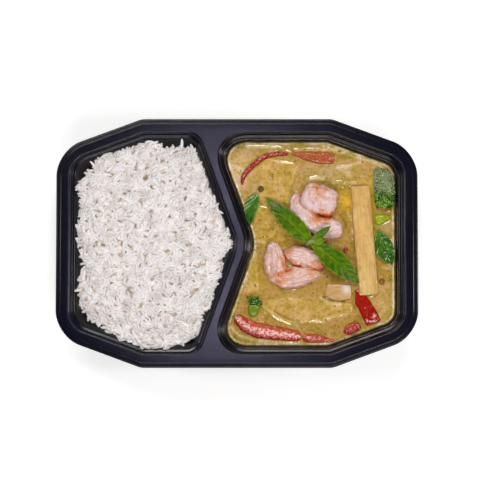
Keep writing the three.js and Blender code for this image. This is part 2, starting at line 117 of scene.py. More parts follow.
def insideOutline(points, x, y):
    # signed distance to a closed outline, positive inside
    nearest = np.full(x.shape, 1e9)
    inside = np.zeros(x.shape, bool)
    for (x0, y0), (x1, y1) in zip(points, points[1:] + points[:1]):
        dx, dy = x1 - x0, y1 - y0
        share = np.clip(((x - x0) * dx + (y - y0) * dy) / (dx * dx + dy * dy), 0, 1)
        nearest = np.minimum(nearest, np.hypot(x - x0 - share * dx, y - y0 - share * dy))
        crosses = (y0 > y) != (y1 > y)
        inside ^= crosses & (x < x0 + (y - y0) * dx / np.where(dy == 0, 1e-9, dy))
    return np.where(inside, nearest, -nearest)


def freshMesh(*layers):
    # a new mesh with its number layers, which have to be there before the first vertex
    bm = bmesh.new()
    for name in layers:
        bm.verts.layers.float.new(name)
    return bm


def layersOf(bm, *names):
    return [bm.verts.layers.float[name] for name in names]


def vertsOf(edges):
    return list({vert for edge in edges for vert in edge.verts})


def toMesh(bm, name, mat):
    bmesh.ops.scale(bm, vec=(mm, mm, mm), verts=bm.verts)
    mesh = bpy.data.meshes.new(name)
    bm.to_mesh(mesh)
    bm.free()
    mesh.materials.append(mat.material)
    return mesh


def addPiece(name, mesh, slot, nodes):
    piece = bpy.data.objects.new(name, mesh)
    bpy.context.scene.collection.objects.link(piece)
    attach(piece, "root")
    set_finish(piece, slot)
    if nodes:
        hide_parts(*nodes)
    return piece


def finishPiece(bm, name, mat, slot, *nodes):
    bmesh.ops.recalc_face_normals(bm, faces=bm.faces)
    mesh = toMesh(bm, name, mat)
    mesh.shade_smooth()
    return addPiece(name, mesh, slot, nodes)


def scatter(name, shapes, places, mat, slot, random, *nodes):
    # joins many small copies: a place is (x, y, z, yaw, pitch, roll, sx, sy, sz, shape)
    parts = []
    for bm in shapes:
        bmesh.ops.triangulate(bm, faces=bm.faces)
        tris = [[v.index for v in f.verts] for f in bm.faces]
        parts.append((np.array([v.co for v in bm.verts]), np.array(tris)))
        bm.free()
    points, faces, tones, start = [], [], [], 0
    for x, y, z, yaw, pitch, roll, sx, sy, sz, shape in places:
        verts, tris = parts[int(shape)]
        turned = Matrix.Rotation(yaw, 3, "Z") @ Matrix.Rotation(-pitch, 3, "Y")
        turned = turned @ Matrix.Rotation(roll, 3, "X")
        points.append((verts * (sx, sy, sz)) @ np.array(turned).T + (x, y, z))
        faces.append(tris + start)
        tones.append(np.full(len(verts), random.random()))
        start += len(verts)
    faces = np.concatenate(faces)
    mesh = bpy.data.meshes.new(name)
    mesh.vertices.add(start)
    mesh.vertices.foreach_set("co", (np.concatenate(points) * mm).ravel())
    mesh.loops.add(faces.size)
    mesh.loops.foreach_set("vertex_index", faces.ravel())
    mesh.polygons.add(len(faces))
    mesh.polygons.foreach_set("loop_start", np.arange(0, faces.size, 3))
    mesh.update(calc_edges=True)
    mesh.shade_smooth()
    mesh.attributes.new("tone", "FLOAT", "POINT").data.foreach_set("value", np.concatenate(tones))
    mesh.materials.append(mat.material)
    addPiece(name, mesh, slot, nodes)
    print(name, len(faces))


# how far red, green and blue soak into leaves and peppers
redSoak = (1.0, 0.2, 0.1)


def toLinear(colour):
    # a colour of three numbers runs up to 255, and one of four is linear already
    return srgb(*colour) if isinstance(colour, tuple) and len(colour) == 3 else colour


class Finish:
    # a material, its shader, and short names for the nodes that feed it
    # soak is the subsurface's weight, scale in millimetres and radius, coat a weight and roughness
    def __init__(self, name, rough, gloss, soak=(0, 0, redSoak), coat=(0, 0), glow=((1, 1, 1, 1), 0)):
        self.material = bpy.data.materials.new(name)
        self.material.use_nodes = True
        self.tree = self.material.node_tree
        self.shader = self.tree.nodes["Principled BSDF"]
        self.place = self.node("TexCoord", {}, "Object")
        sockets = {
            "Roughness": rough, "Specular IOR Level": gloss, "Subsurface Weight": soak[0],
            "Subsurface Scale": soak[1] * mm, "Subsurface Radius": soak[2], "Coat Weight": coat[0],
            "Coat Roughness": coat[1], "Emission Color": glow[0], "Emission Strength": glow[1]}
        for socket, value in sockets.items():
            self.feed(self.shader, socket, value)

    def feed(self, node, socket, value):
        if isinstance(value, bpy.types.NodeSocket):
            self.tree.links.new(value, node.inputs[socket])
        else:
            node.inputs[socket].default_value = value

    def node(self, kind, inputs, output=0, **settings):
        made = self.tree.nodes.new("ShaderNode" + kind)
        for setting, value in settings.items():
            setattr(made, setting, value)
        for socket, value in inputs.items():
            self.feed(made, socket, value)
        return made.outputs[output]

    def stretched(self, stretch, turn):
        # the place on the piece, stretched along a way turned from X
        ways = {"Vector": self.place, "Scale": (stretch, 1, 1), "Rotation": (0, 0, turn)}
        return self.node("Mapping", ways, vector_type="TEXTURE")

    def mottle(self, size, detail=3.0, rough=0.55, place=None):
        # size is the width of one patch in millimetres
        return self.noise(self.place if place is None else place, 1 / (size * mm), detail, rough)

    def noise(self, place, scale=1.0, detail=2.0, rough=0.5, twist=0.0):
        return self.node("TexNoise", {"Vector": place, "Scale": scale, "Detail": detail, "Roughness": rough,
                                      "Distortion": twist})

    def strands(self, along, around, detail, **more):
        # noise in the piece's own lengthwise and crosswise numbers
        ways = {"X": self.times(self.read("along"), along), "Y": self.times(self.read("around"), around)}
        return self.noise(self.node("CombineXYZ", {**ways, **more}), detail=detail)

    def read(self, name, output="Fac"):
        return self.node("Attribute", {}, output, attribute_name=name)

    def maths(self, operation, *values):
        return self.node("Math", dict(enumerate(values)), operation=operation)

    def times(self, value, share):
        return self.maths("MULTIPLY", value, share)

    def vary(self, base, pattern, middle, share):
        # a value that a pattern raises and lowers
        return self.maths("MULTIPLY_ADD", self.maths("SUBTRACT", pattern, middle), share, base)

    def ramp(self, value, *stops):
        made = self.node("ValToRGB", {"Fac": value})
        line = made.node.color_ramp.elements
        while len(line) < len(stops):
            line.new(0.5)
        for element, (where, colour) in zip(line, stops):
            element.position = where
            element.color = toLinear(colour)
        return made

    def mask(self, value, low, high, most=1):
        return self.ramp(value, (low, (0, 0, 0, 1)), (high, (most, most, most, 1)))

    def mix(self, share, first, second, how="MIX"):
        return self.node("Mix", {0: share, 6: toLinear(first), 7: toLinear(second)}, 2,
                         data_type="RGBA", blend_type=how)

    def colour(self, value):
        self.feed(self.shader, "Base Color", value)

    def bump(self, *layers):
        # layers are (height, distance in millimetres)
        below = {}
        for height, distance in layers:
            below = {"Height": height, "Distance": distance * mm, "Strength": 1.0, **below}
            below = {"Normal": self.node("Bump", below)}
        self.feed(self.shader, "Normal", below["Normal"])


# outlines: corners are (x, y, radius), anticlockwise
outlineForm = {
    "leastRadius": 4,
    "fewestSteps": 4,
    "stepsPerRadian": 9,
}


def insetCorners(corners, inset):
    # the corners moved inwards, each with its new radius and how far the outline turns there
    moved = []
    for before, here, after in zip(corners[-1:] + corners[:-1], corners, corners[1:] + corners[:1]):
        wayIn = (Vector(here[:2]) - Vector(before[:2])).normalized()
        wayOut = (Vector(after[:2]) - Vector(here[:2])).normalized()
        reach = inset / (1 + wayIn.dot(wayOut))
        turn = math.atan2(wayIn.cross(wayOut), wayIn.dot(wayOut))
        radius = max(here[2] - math.copysign(inset, turn), min(here[2], outlineForm["leastRadius"]))
        x = here[0] - (wayIn.y + wayOut.y) * reach
        y = here[1] + (wayIn.x + wayOut.x) * reach
        moved.append((x, y, radius, abs(turn)))
    return moved


def roundedLoop(bm, corners, inset, height, cap=False):
    # a flat outline with its corners rounded; returns its edges
    moved = insetCorners(corners, inset)
    verts = [bm.verts.new((x, y, height)) for x, y, radius, turn in moved]
    bm.faces.new(verts)
    for vert, (x, y, radius, turn) in zip(verts, moved):
        steps = max(outlineForm["fewestSteps"], round(turn * outlineForm["stepsPerRadian"]))
        made = bmesh.ops.bevel(bm, geom=[vert], offset=radius * math.tan(turn / 2), offset_type="OFFSET",
                               affect="VERTICES", segments=steps, profile=0.5, material=-1)
    face = made["verts"][0].link_faces[0]
    edges = list(face.edges)
    if not cap:
        bmesh.ops.delete(bm, geom=[face], context="FACES_ONLY")
    return edges


def roundedOutline(corners, inset):
    bm = bmesh.new()
    roundedLoop(bm, corners, inset, 0, cap=True)
    outline = [tuple(vert.co.xy) for vert in bm.faces[:][0].verts]
    bm.free()
    return outline


def bridge(bm, loops):
    for first, second in zip(loops, loops[1:]):
        bmesh.ops.bridge_loops(bm, edges=first + second)


def evenLoop(bm, corners, inset, height, spacing):
    # the first loop of a new mesh, rounded, with its straight runs cut into short edges
    for edge in roundedLoop(bm, corners, inset, height):
        cuts = round(edge.calc_length() / spacing) - 1
        if cuts > 0:
            bmesh.ops.bisect_edges(bm, edges=[edge], cuts=cuts)
    return bm.edges[:]


def extrudeRing(bm, ring):
    made = bmesh.ops.extrude_edge_only(bm, edges=ring)["geom"]
    verts = [g for g in made if isinstance(g, bmesh.types.BMVert)]
    fresh = set(verts)
    return verts, [g for g in made if isinstance(g, bmesh.types.BMEdge) and fresh.issuperset(g.verts)]


def nextRing(bm, ring, move):
    # extrudes a ring and moves the new one by its own place
    verts, ring = extrudeRing(bm, ring)
    for vert in verts:
        vert.co = move(vert.co)
    return ring


def shrinkRing(bm, ring, middle, height, shares):
    # closes a ring with smaller ones towards the middle and a last face
    before = 1.0
    for share in shares:
        factor = share / before
        ring = nextRing(bm, ring, lambda co: Vector((middle.x + (co.x - middle.x) * factor,
                                                      middle.y + (co.y - middle.y) * factor, height)))
        before = share
    bmesh.ops.holes_fill(bm, edges=ring, sides=0)


# camera, light and floor
view = {
    "target": Vector((2.1, 2.0, 38)),
    "distance": 850,
    "nearest": 10,
    "elevation": math.radians(87.5),
    "lens": 92.5,
    "sensor": 36,
}
studio = {
    "world": (0.93, 0.96, 1.0, 1.0),
    "worldStrength": 0.045,
    "aim": Vector((0, 0, 30)),
    # place, width, depth, power in watts, colour, and turn in degrees of a level panel
    "lamps": {
        "keyPanel": ((-140, 600, 860), 900, 130, 6.0, (1.0, 0.983, 0.975), None),
        "frontPanel": ((120, -555, 840), 900, 130, 5.0, (1.0, 0.985, 0.985), None),
        "leftPanel": ((-760, 60, 540), 130, 700, 1.3, (1.0, 0.98, 0.97), None),
        "rightPanel": ((800, -40, 500), 130, 700, 2.6, (1.0, 0.98, 0.95), None),
        "northPanel": ((-20, 240, 1100), 220, 140, 0.19, (0.72, 0.67, 1.0), 0),
        "southPanel": ((-20, -165, 1100), 220, 140, 0.18, (0.72, 0.67, 1.0), 0),
        # two panels in line with the halves of the divider
        "dividerNorth": ((-33, 160, 1100), 40, 170, 0.36, (0.76, 0.7, 1.0), 20),
        "dividerSouth": ((-33, -75, 1100), 40, 170, 0.42, (0.76, 0.7, 1.0), -20),
    },
    "floorHalf": 3500,
    "floorGap": 0.2,
    "floorGlow": 0.34,
}


# the level panels give their sheen to the tray alone
onlyTray = bpy.data.collections.new("onlyTray")


def buildStudio():
    scene = bpy.context.scene
    scene.view_settings.view_transform = "Standard"
    camera = bpy.data.objects.new("camera", bpy.data.cameras.new("camera"))
    away = Vector((0, -math.cos(view["elevation"]), math.sin(view["elevation"])))
    camera.location = (view["target"] + away * view["distance"]) * mm
    camera.rotation_euler = (math.pi / 2 - view["elevation"], 0, 0)
    camera.data.lens = view["lens"]
    camera.data.sensor_width = view["sensor"]
    camera.data.clip_start = view["nearest"] * mm
    scene.collection.objects.link(camera)
    scene.camera = camera

    scene.world = bpy.data.worlds.new("softRoom")
    scene.world.use_nodes = True
    background = scene.world.node_tree.nodes["Background"].inputs
    background["Color"].default_value = studio["world"]
    background["Strength"].default_value = studio["worldStrength"]

    for name, (spot, width, depth, power, colour, turn) in studio["lamps"].items():
        lamp = bpy.data.lights.new(name, "AREA")
        lamp.shape = "RECTANGLE"
        lamp.size = width * mm
        lamp.size_y = depth * mm
        lamp.energy = power
        lamp.color = colour
        panel = bpy.data.objects.new(name, lamp)
        panel.location = Vector(spot) * mm
        if turn is None:
            panel.rotation_euler = (studio["aim"] - Vector(spot)).to_track_quat("-Z", "Y").to_euler()
        else:
            panel.rotation_euler = (0, 0, math.radians(turn))
            panel.light_linking.receiver_collection = onlyTray
        scene.collection.objects.link(panel)

    mat = Finish("palePaper", 0.9, 0.1, glow=((1, 1, 1, 1), studio["floorGlow"]))
    mat.colour(mat.ramp(mat.mottle(40, 2), (0.3, (250, 250, 250)), (0.7, (253, 253, 253))))
    bm = bmesh.new()
    bmesh.ops.create_grid(bm, x_segments=2, y_segments=2, size=studio["floorHalf"])
    floor = bpy.data.objects.new("floor", toMesh(bm, "floor", mat))
    floor.location.z = -studio["floorGap"] * mm
    scene.collection.objects.link(floor)
    print("studio ready")


# tray
trayForm = {
    "halfLength": 125,
    "halfWidth": 86,
    "height": 38,
    "thickness": 0.9,
    "shoulder": (66, 12),  # x where the slanted edge starts, and its corner radius
    "sideCorner": (64.3, 25.5),  # y where it ends, and its corner radius
    "flange": 8.7,
    "kinkX": 4.3,
    "dividerHalf": 2.66,
    "lean": math.tan(math.radians(20)),
    "cornerRadius": {"curry": 20, "rice": 12, "curryKink": 20, "riceKink": 24},
    # inset from the lip or the edge, and depth under the rim
    "cup": [(-1.2, 0), (-0.3, 0), (0.15, 0.03), (0.5, 0.14), (0.85, 0.4), (1.15, 0.85), (1.4, 1.5),
        (1.75, 3.0), (2.0, 4.2), (2.15, 4.42), (2.4, 4.55), (3.5, 4.75), (3.85, 4.95), (4.3, 5.5),
        (4.55, 6.2), (5.2, 11), (6.3, 19), (7.5, 27.4), (8.0, 30.2), (8.6, 32.6), (9.8, 35),
        (11.6, 36.6), (13.4, 37.1)],
    "rim": [(0, 4.2), (0, 1.7), (0.12, 1.25), (0.45, 0.92), (0.9, 0.8), (2.55, 0.8), (2.85, 0.74),
        (3.05, 0.5), (3.2, 0.2), (3.42, 0.03), (3.8, 0)],
    "sharpFrom": 35,  # degrees
    "weld": 0.001,
}


def trayCorners():
    form = trayForm
    x, shoulderRadius = form["shoulder"]
    y, sideRadius = form["sideCorner"]
    right = [(x, -form["halfWidth"], shoulderRadius), (form["halfLength"], -y, sideRadius)]
    right += [(a, -b, r) for a, b, r in reversed(right)]
    outer = right + [(-a, -b, r) for a, b, r in right]
    lip = [corner[:3] for corner in insetCorners(outer, form["flange"])]
    lipY = lip[3][1]
    reach, half, radii = lipY * form["lean"], form["dividerHalf"], form["cornerRadius"]
    curryX, riceX = form["kinkX"] + half, form["kinkX"] - half
    curry = [(curryX - reach, -lipY, radii["curry"]), *lip[:4], (curryX - reach, lipY, radii["curry"]),
             (curryX, 0, radii["curryKink"])]
    rice = [(riceX - reach, -lipY, radii["rice"]), (riceX, 0, radii["riceKink"]),
            (riceX - reach, lipY, radii["rice"]), *lip[4:]]
    return outer, curry, rice


outerCorners, curryMouth, riceMouth = trayCorners()
# the cup's wall from its lip down, for both cups
cupInsets, cupDepths = zip(*[stop for stop in trayForm["cup"] if stop[0] >= 0])


def drawIn(edges, mouth, middle, clearance, passes=60, share=0.99):
    # draws a level ring in towards the middle until it lies inside the cup
    verts = vertsOf(edges)
    inset = float(np.interp(trayForm["height"] - verts[0].co.z, cupDepths, cupInsets))
    outline = roundedOutline(mouth, inset)
    for _ in range(passes):
        x, y, _ = np.array([vert.co for vert in verts]).T
        outside = insideOutline(outline, x, y) < clearance
        for vert in (vert for vert, far in zip(verts, outside) if far):
            vert.co.xy = middle.xy.lerp(vert.co.xy, share)


def plasticFinish():
    mat = Finish("blackPlastic", 0.2, 0.42)
    broad = mat.mottle(38, 2)
    mat.colour(mat.ramp(broad, (0.35, (6, 8, 24)), (0.65, (15, 12, 22))))
    uneven = mat.node("MapRange", {"Value": mat.mottle(9, 4), "To Min": 0.16, "To Max": 0.23})
    mat.feed(mat.shader, "Roughness", uneven)
    mat.bump((broad, 0.16), (mat.mottle(7, 2), 0.03), (mat.mottle(0.5, 2), 0.004))
    return mat


def buildTray():
    form = trayForm
    bm = bmesh.new()
    rim = [roundedLoop(bm, outerCorners, inset, form["height"] - depth) for inset, depth in form["rim"]]
    bridge(bm, rim)
    openings = list(rim[-1])
    for mouth in (curryMouth, riceMouth):
        cup = [roundedLoop(bm, mouth, inset, form["height"] - depth, cap=(inset, depth) == form["cup"][-1])
               for inset, depth in form["cup"]]
        bridge(bm, cup)
        openings += cup[0]
    bmesh.ops.triangle_fill(bm, edges=openings, use_beauty=True, normal=up)
    bmesh.ops.remove_doubles(bm, verts=bm.verts, dist=form["weld"])
    tray = finishPiece(bm, "tray_shell", plasticFinish(), "tray", "tray")
    tray.data.set_sharp_from_angle(angle=math.radians(form["sharpFrom"]))
    wall = tray.modifiers.new("wall", "SOLIDIFY")
    wall.thickness = form["thickness"] * mm
    wall.offset = -1
    wall.use_even_offset = True
    wall.thickness_clamp = 1
    onlyTray.objects.link(tray)
    print("tray", len(tray.data.polygons))


# rice
heap = {
    # the outline of the heap at its foot
    "outline": [(-111, 40), (-101, 52), (-94, 62), (-70, 67.5), (-62, 71), (-55, 70), (-52, 66), (-30, 67),
        (-23, 56), (-20.5, 41), (-13, 29), (-6.5, 11), (-2.4, 6), (-2.4, -5), (-9, -8), (-9, -20),
        (-14, -33), (-16, -44), (-23, -49), (-23, -62), (-39, -70), (-54, -75.2), (-64, -74.4), (-83, -66),
        (-104, -50), (-110.5, -38), (-111, -26), (-106, -15), (-110, -2), (-113, 9), (-109, 22)],
    "middle": (-62, -2),
    "foot": (1.4, 5.5, 20, 30.8),  # heights of the rings under the top
    "edge": 32.2,
    "rise": 5.5,
    "spread": 7.0,  # how soon the heap reaches its full height
    "lump": 0.62,
    "clump": (7.5, 1.4),  # size and height of the clumps
    "pits": (3.4, 0.17, 0.33, 1.0),  # size, where they start and are full, depth
    "spacing": 1.3,
    "rings": 60,
    "crown": 34,  # height at which the rings of the top are made
    "cornerRadius": 2.5,
    "inset": 1.2,
    "clearance": 0.3,
    "cover": 0.9,  # how deep the loose grains lie on the core
    # how far under the top the core lies, and the height and size of its lumps
    "sticky": (-0.45, 1.6, 3.6),
    "glow": ((1.0, 0.93, 0.87, 1.0), 0.08),  # painted light: an even glow of the rice and its core, which lifts the shade between grains in place of light that soaks from grain to grain
    "hollows": [(-90.3, 49.6, 2.1, 2.8), (-86.8, 47.6, 2, 2.8), (-96.6, 0.6, 2, 2.6),
        (-92.4, -1.4, 2.1, 2.8), (-63.3, 44.7, 2.2, 2.2), (-58.5, 37.8, 2.4, 2.2), (-77, 34.4, 2, 2.4),
        (-75, -32.5, 2.6, 2.8), (-80.6, -8.3, 2, 2.4), (-36, 30, 1.8, 1.8), (-49, -6, 1.6, 1.6),
        (-45.6, -7.8, 1.5, 1.6), (-30, -34, 2.4, 1.8), (-60, -52, 2, 2.2), (-98, -33, 2.2, 2.4),
        (-28, 12, 1.8, 1.8), (-70, 12, 2, 1.6), (-52, 57, 1.8, 2), (-27, -16, 2, 2)],
}
grain = {
    "count": 4300,
    "tries": 8,
    "length": (5.6, 8.0),
    "width": (2.0, 2.7),
    "sides": 5,
    "rings": 5,
    "cell": 0.5,
    "steepest": 0.3,
    "proud": 0.2,  # how far the middle of a grain may lie above the heap
    "seed": 11,
    "field": (-118.0, 4, -79.0, 79),  # the height map's sides
    "jitter": 0.25,
    "tilt": 0.06,
    "bareShare": (0.8, 0.55),  # over bare places, and the share of grains left out there
    "rest": (0.7, 0.3),  # the share of the ground under a grain, and how high on it the middle lies
    "dome": 0.44,
    "roll": 0.4,
    "flatness": 0.72,
    "wallPasses": 14,
    "wallStep": 0.4,
    "wallGap": 0.45,  # share of the width
    # two grains apart from the heap: place, yaw, pitch, roll, sizes and shape
    "loose": [(-38.2, 68.6, 35.0, 1.5, 0.12, 0.3, 8.2, 2.2, 1.9, 1),
              (-99.8, 54.6, 34.0, 2.3, 0.1, 0.6, 6.8, 2.2, 1.8, 0)],
    "shapes": [(0, 2.6), (0.12, 2.4), (-0.1, 3.2), (0.05, 2.9)],  # bend and bluntness
}


def heapTop(x, y):
    # the heap's height, the distance in from its outline, and where it has no loose grains
    depth = insideOutline(heap["outline"], x, y)
    lumps = np.sin(x / 11 + 0.6) * np.cos(y / 13 - 0.4)
    lumps = lumps + 0.6 * (np.sin(x / 3.9 + y / 5.3) * np.cos(x / 6.7 - y / 4.1))
    full = 1 - np.exp(-np.maximum(depth, 0) / heap["spread"])
    top = heap["edge"] + heap["rise"] * full + heap["lump"] * lumps
    size, rise = heap["clump"]
    top = top + rise * rippleField(x, y, size, 8.0)
    size, low, high, drop = heap["pits"]
    bare = blend(low, high, rippleField(x, y, size, 3.0))
    top = top - drop * bare
    for hollowX, hollowY, radius, drop in heap["hollows"]:
        dip = np.exp(-((x - hollowX) ** 2 + (y - hollowY) ** 2) / radius ** 2)
        top = top - drop * dip
        bare = np.maximum(bare, np.minimum(1, dip * 1.3))
    return top, depth, bare


def dropGrains(random):
    # lets grains fall one by one on a height map, each at the lowest of a few places
    cell, steepest = grain["cell"], grain["steepest"]
    left, right, low, high = grain["field"]
    xs = np.arange(left, right, cell)
    ys = np.arange(low, high, cell)
    x, y = np.meshgrid(xs, ys, indexing="ij")
    top, depth, bare = heapTop(x, y)
    ground = trayForm["height"] - np.interp(insideOutline([corner[:2] for corner in riceMouth], x, y),
                                            cupInsets, cupDepths)
    height = np.where(depth > 1, np.maximum(ground, top - heap["cover"]), ground)
    free = np.argwhere((depth > 0.2) & (bare < 0.45))
    bareFrom, leftOut = grain["bareShare"]
    restShare, restHeight = grain["rest"]
    placed = []
    for _ in range(grain["count"]):
        picks = free[random.integers(len(free), size=grain["tries"])]
        best = tuple(min(picks, key=lambda p: height[p[0], p[1]] - top[p[0], p[1]]))
        level = top[best]
        if height[best] > level + 0.1:
            continue
        centre = np.array([xs[best[0]], ys[best[1]]]) + random.uniform(-grain["jitter"], grain["jitter"], 2)
        length = random.uniform(*grain["length"])
        width = random.uniform(*grain["width"])
        yaw = random.uniform(0, math.pi)
        way = np.array([math.cos(yaw), math.sin(yaw)])
        along = np.linspace(-0.42, 0.42, 7) * length
        cells = tuple(np.clip(((centre[k] + along * way[k] - start) / cell).round().astype(int), 0, last)
                      for k, start, last in ((0, left, len(xs) - 1), (1, low, len(ys) - 1)))
        under = height[cells]
        slope = np.polyfit(along, under, 1)[0] + random.normal(0, grain["tilt"])
        slope = np.clip(slope, -steepest, steepest)
        if bare[cells].max() > bareFrom and random.random() < leftOut:
            continue
        middle = min(np.quantile(under - slope * along, restShare) + width * restHeight,
                     level + grain["proud"] - abs(slope))
        placed.append((*centre, middle, yaw, math.atan(slope), length, width))
        reach = int(length / 2 / cell) + 2
        patch = tuple(slice(max(k - reach, 0), k + reach + 1) for k in best)
        wx, wy = x[patch] - centre[0], y[patch] - centre[1]
        s = wx * way[0] + wy * way[1]
        t = -wx * way[1] + wy * way[0]
        inside = 1 - (2 * s / length) ** 2 - (2 * t / width) ** 2
        dome = middle + slope * s + width * grain["dome"] * np.sqrt(np.maximum(inside, 0))
        height[patch] = np.where(inside > 0, np.maximum(height[patch], dome), height[patch])
    print("rice grains", len(placed), "highest", round(height.max(), 1))
    return clearOfWall(np.array(placed))


def clearOfWall(grains):
    # moves grains in from the cup's wall until none cuts through it
    x, y, z, yaw, pitch, length, width = grains.T
    mouth = [corner[:2] for corner in riceMouth]
    reach = np.outer([-0.5, -0.25, 0, 0.25, 0.5], length)
    for _ in range(grain["wallPasses"]):
        inside = insideOutline(mouth, x + reach * np.cos(yaw), y + reach * np.sin(yaw))
        wall = np.interp(trayForm["height"] - z - reach * np.sin(pitch), cupDepths, cupInsets)
        step = np.where((inside - wall).min(axis=0) < grain["wallGap"] * width, grain["wallStep"], 0)
        toMiddle = np.array(heap["middle"])[:, None] - (x, y)
        x, y = (x, y) + step * toMiddle / np.hypot(*toMiddle)
    return np.array((x, y, z, yaw, pitch, length, width)).T


def grainShape(bend, blunt):
    # one grain along X, one unit long and one unit wide
    bm = bmesh.new()
    bmesh.ops.create_uvsphere(bm, u_segments=grain["sides"], v_segments=grain["rings"], radius=0.5)
    for vert in bm.verts:
        share = vert.co.z * 2
        fuller = math.sqrt(max(1 - abs(share) ** blunt, 0)) / math.sqrt(max(1 - share ** 2, 1e-6))
        vert.co = Vector((vert.co.z, vert.co.x * fuller + bend * share ** 2, vert.co.y * fuller))
    bmesh.ops.recalc_face_normals(bm, faces=bm.faces)
    return bm


def riceFinish():
    # the heap's glow is painted light that lifts the shade between the grains
    mat = Finish("boiledRice", 0.45, 0.2, (0.15, 0.8, (1.0, 0.82, 0.68)), glow=heap["glow"])
    tone = mat.ramp(mat.read("tone"), (0, (220, 213, 211)), (0.4, (226, 221, 220)), (1, (233, 230, 230)))
    # broad patches darkened to a warm grey at random: painted shade, as between clumps
    patchShade = mat.ramp(mat.mottle(10, 4, 0.6), (0.36, (0.82, 0.8, 0.78, 1)), (0.54, (1, 1, 1, 1)))
    mat.colour(mat.mix(1.0, tone, patchShade, "MULTIPLY"))
    mat.bump((mat.mottle(0.7, 2), 0.05))
    return mat


def coreFinish():
    # the heap's glow is painted light that lifts the shade between the grains
    mat = Finish("deepRice", 0.55, 0.2, (0.15, 0.8, (1.0, 0.8, 0.62)), glow=heap["glow"])
    pale = mat.ramp(mat.mottle(2.4), (0.3, (226, 214, 204)), (0.6, (244, 237, 232)))
    # painted shade: the core turns brown where it is bare in the pits and hollows, as the shade between
    # grains
    pitShade = mat.ramp(mat.mottle(1.2), (0.35, (176, 152, 124)), (0.65, (220, 204, 186)))
    mat.colour(mat.mix(mat.read("deep"), pale, pitShade))
    mat.bump((mat.mottle(2.2), 0.9))
    return mat


def buildRice():
    random = np.random.default_rng(grain["seed"])
    bm = freshMesh("deep")
    middle = Vector((*heap["middle"], 0))
    corners = [(x, y, heap["cornerRadius"]) for x, y in reversed(heap["outline"])]
    ring = evenLoop(bm, corners, heap["inset"], heap["foot"][0], heap["spacing"])
    bmesh.ops.holes_fill(bm, edges=ring, sides=0)
    side = [ring]
    for height in heap["foot"][1:]:
        side.append(nextRing(bm, side[-1], lambda co: Vector((co.x, co.y, height))))
    rings = heap["rings"]
    shrinkRing(bm, side[-1], middle, heap["crown"], [1 - step / rings for step in range(1, rings)])
    for ring in side:
        drawIn(ring, riceMouth, middle, heap["clearance"])
    crown = [vert for vert in bm.verts if vert.co.z > heap["crown"] - 1]
    tops, _, bares = heapTop(np.array([v.co.x for v in crown]), np.array([v.co.y for v in crown]))
    deep, = layersOf(bm, "deep")
    sunk, rise, size = heap["sticky"]
    for vert, top, bare in zip(crown, tops, bares):
        vert.co.z = top - sunk + rise * (ripple(vert.co.x, vert.co.y, size) - 0.3) - 0.6 * bare
        # the bare places carry the core's painted pit shade
        vert[deep] = bare
    finishPiece(bm, "rice_core", coreFinish(), "rice")
    grains = []
    for x, y, z, yaw, pitch, length, width in dropGrains(random):
        roll = random.uniform(-grain["roll"], grain["roll"])
        grains.append((x, y, z, yaw, pitch, roll, length, width, width * grain["flatness"],
                       random.integers(len(grain["shapes"]))))
    shapes = [grainShape(*shape) for shape in grain["shapes"]]
    scatter("rice_grains", shapes, grains + grain["loose"], riceFinish(), "rice", random, "rice")


# bodies in the curry

def crossSection(sides, square, aspect):
    # evenly spaced points of a rounded oblong, scaled to one unit each way
    turn = np.linspace(0, math.tau, 721)
    x = np.sign(np.cos(turn)) * np.abs(np.cos(turn)) ** square
    y = np.sign(np.sin(turn)) * np.abs(np.sin(turn)) ** square
    length = np.concatenate([[0], np.cumsum(np.hypot(np.diff(x * aspect), np.diff(y)))])
    even = np.linspace(0, length[-1], sides + 1)[:-1]
    return np.interp(even, length, x), np.interp(even, length, y)


def tube(bm, stops, rings=40, sides=32, square=1.0, tip=3.0):
    # a body along a smooth line; stops are (x, y, z, half width, half height), and tip is
    # the length of a rounded end
    along, around = layersOf(bm, "along", "around")
    line = smoothLine(stops, rings * 8)
    travel = np.concatenate([[0], np.cumsum(np.linalg.norm(np.diff(line[:, :3], axis=0), axis=1))])
    total = travel[-1]
    tip = min(tip, total / 2)
    # the rings lie closer together near both ends
    even = np.linspace(0, 1, rings)
    crowd = min(0.9, 2 * tip / total + 0.15)
    where = total * (even * (1 - crowd) + crowd * (1 - np.cos(math.pi * even)) / 2)
    where[0] = total * 0.0005
    where[-1] = total * 0.9995
    spots = np.array([np.interp(where, travel, line[:, k]) for k in range(5)]).T
    ways = np.array([np.interp(where, travel, np.gradient(line[:, k])) for k in range(3)]).T
    xs, ys = crossSection(sides, square, float(np.mean(line[:, 3]) / np.mean(line[:, 4])))
    verts = bmesh.ops.create_circle(bm, cap_ends=False, segments=sides, radius=1)["verts"]
    for k, vert in enumerate(verts):
        vert.co = (xs[k], ys[k], 0)
        vert[around] = k / sides
    ring = list({e for v in verts for e in v.link_edges})
    first, before, everything = ring, Matrix.Identity(4), list(verts)
    for k, (*centre, width, height) in enumerate(spots):
        way = Vector(ways[k]).normalized()
        side = up.cross(way).normalized()
        near = min(1.0, min(where[k], total - where[k]) / tip)
        close = math.sqrt(max(1 - (1 - near) ** 2, 1e-4))
        axes = (side * width * close, way.cross(side) * height * close, way)
        basis = Matrix(axes).transposed().to_4x4()
        basis.translation = Vector(centre)
        if k:
            verts, ring = extrudeRing(bm, ring)
            everything += verts
        bmesh.ops.transform(bm, matrix=basis @ before.inverted(), verts=verts)
        for vert in verts:
            vert[along] = where[k] / total
        before = basis
    bmesh.ops.holes_fill(bm, edges=first + ring, sides=0)
    return everything


def roughen(bm, verts, move):
    # pushes each vertex along its normal by move(place, along, around)
    along, around = layersOf(bm, "along", "around")
    bm.normal_update()
    bmesh.ops.recalc_face_normals(bm, faces=list({f for v in verts for f in v.link_faces}))
    bm.normal_update()
    shifts = [v.normal * move(v.co, v[along], v[around]) for v in verts]
    for vert, shift in zip(verts, shifts):
        vert.co += shift


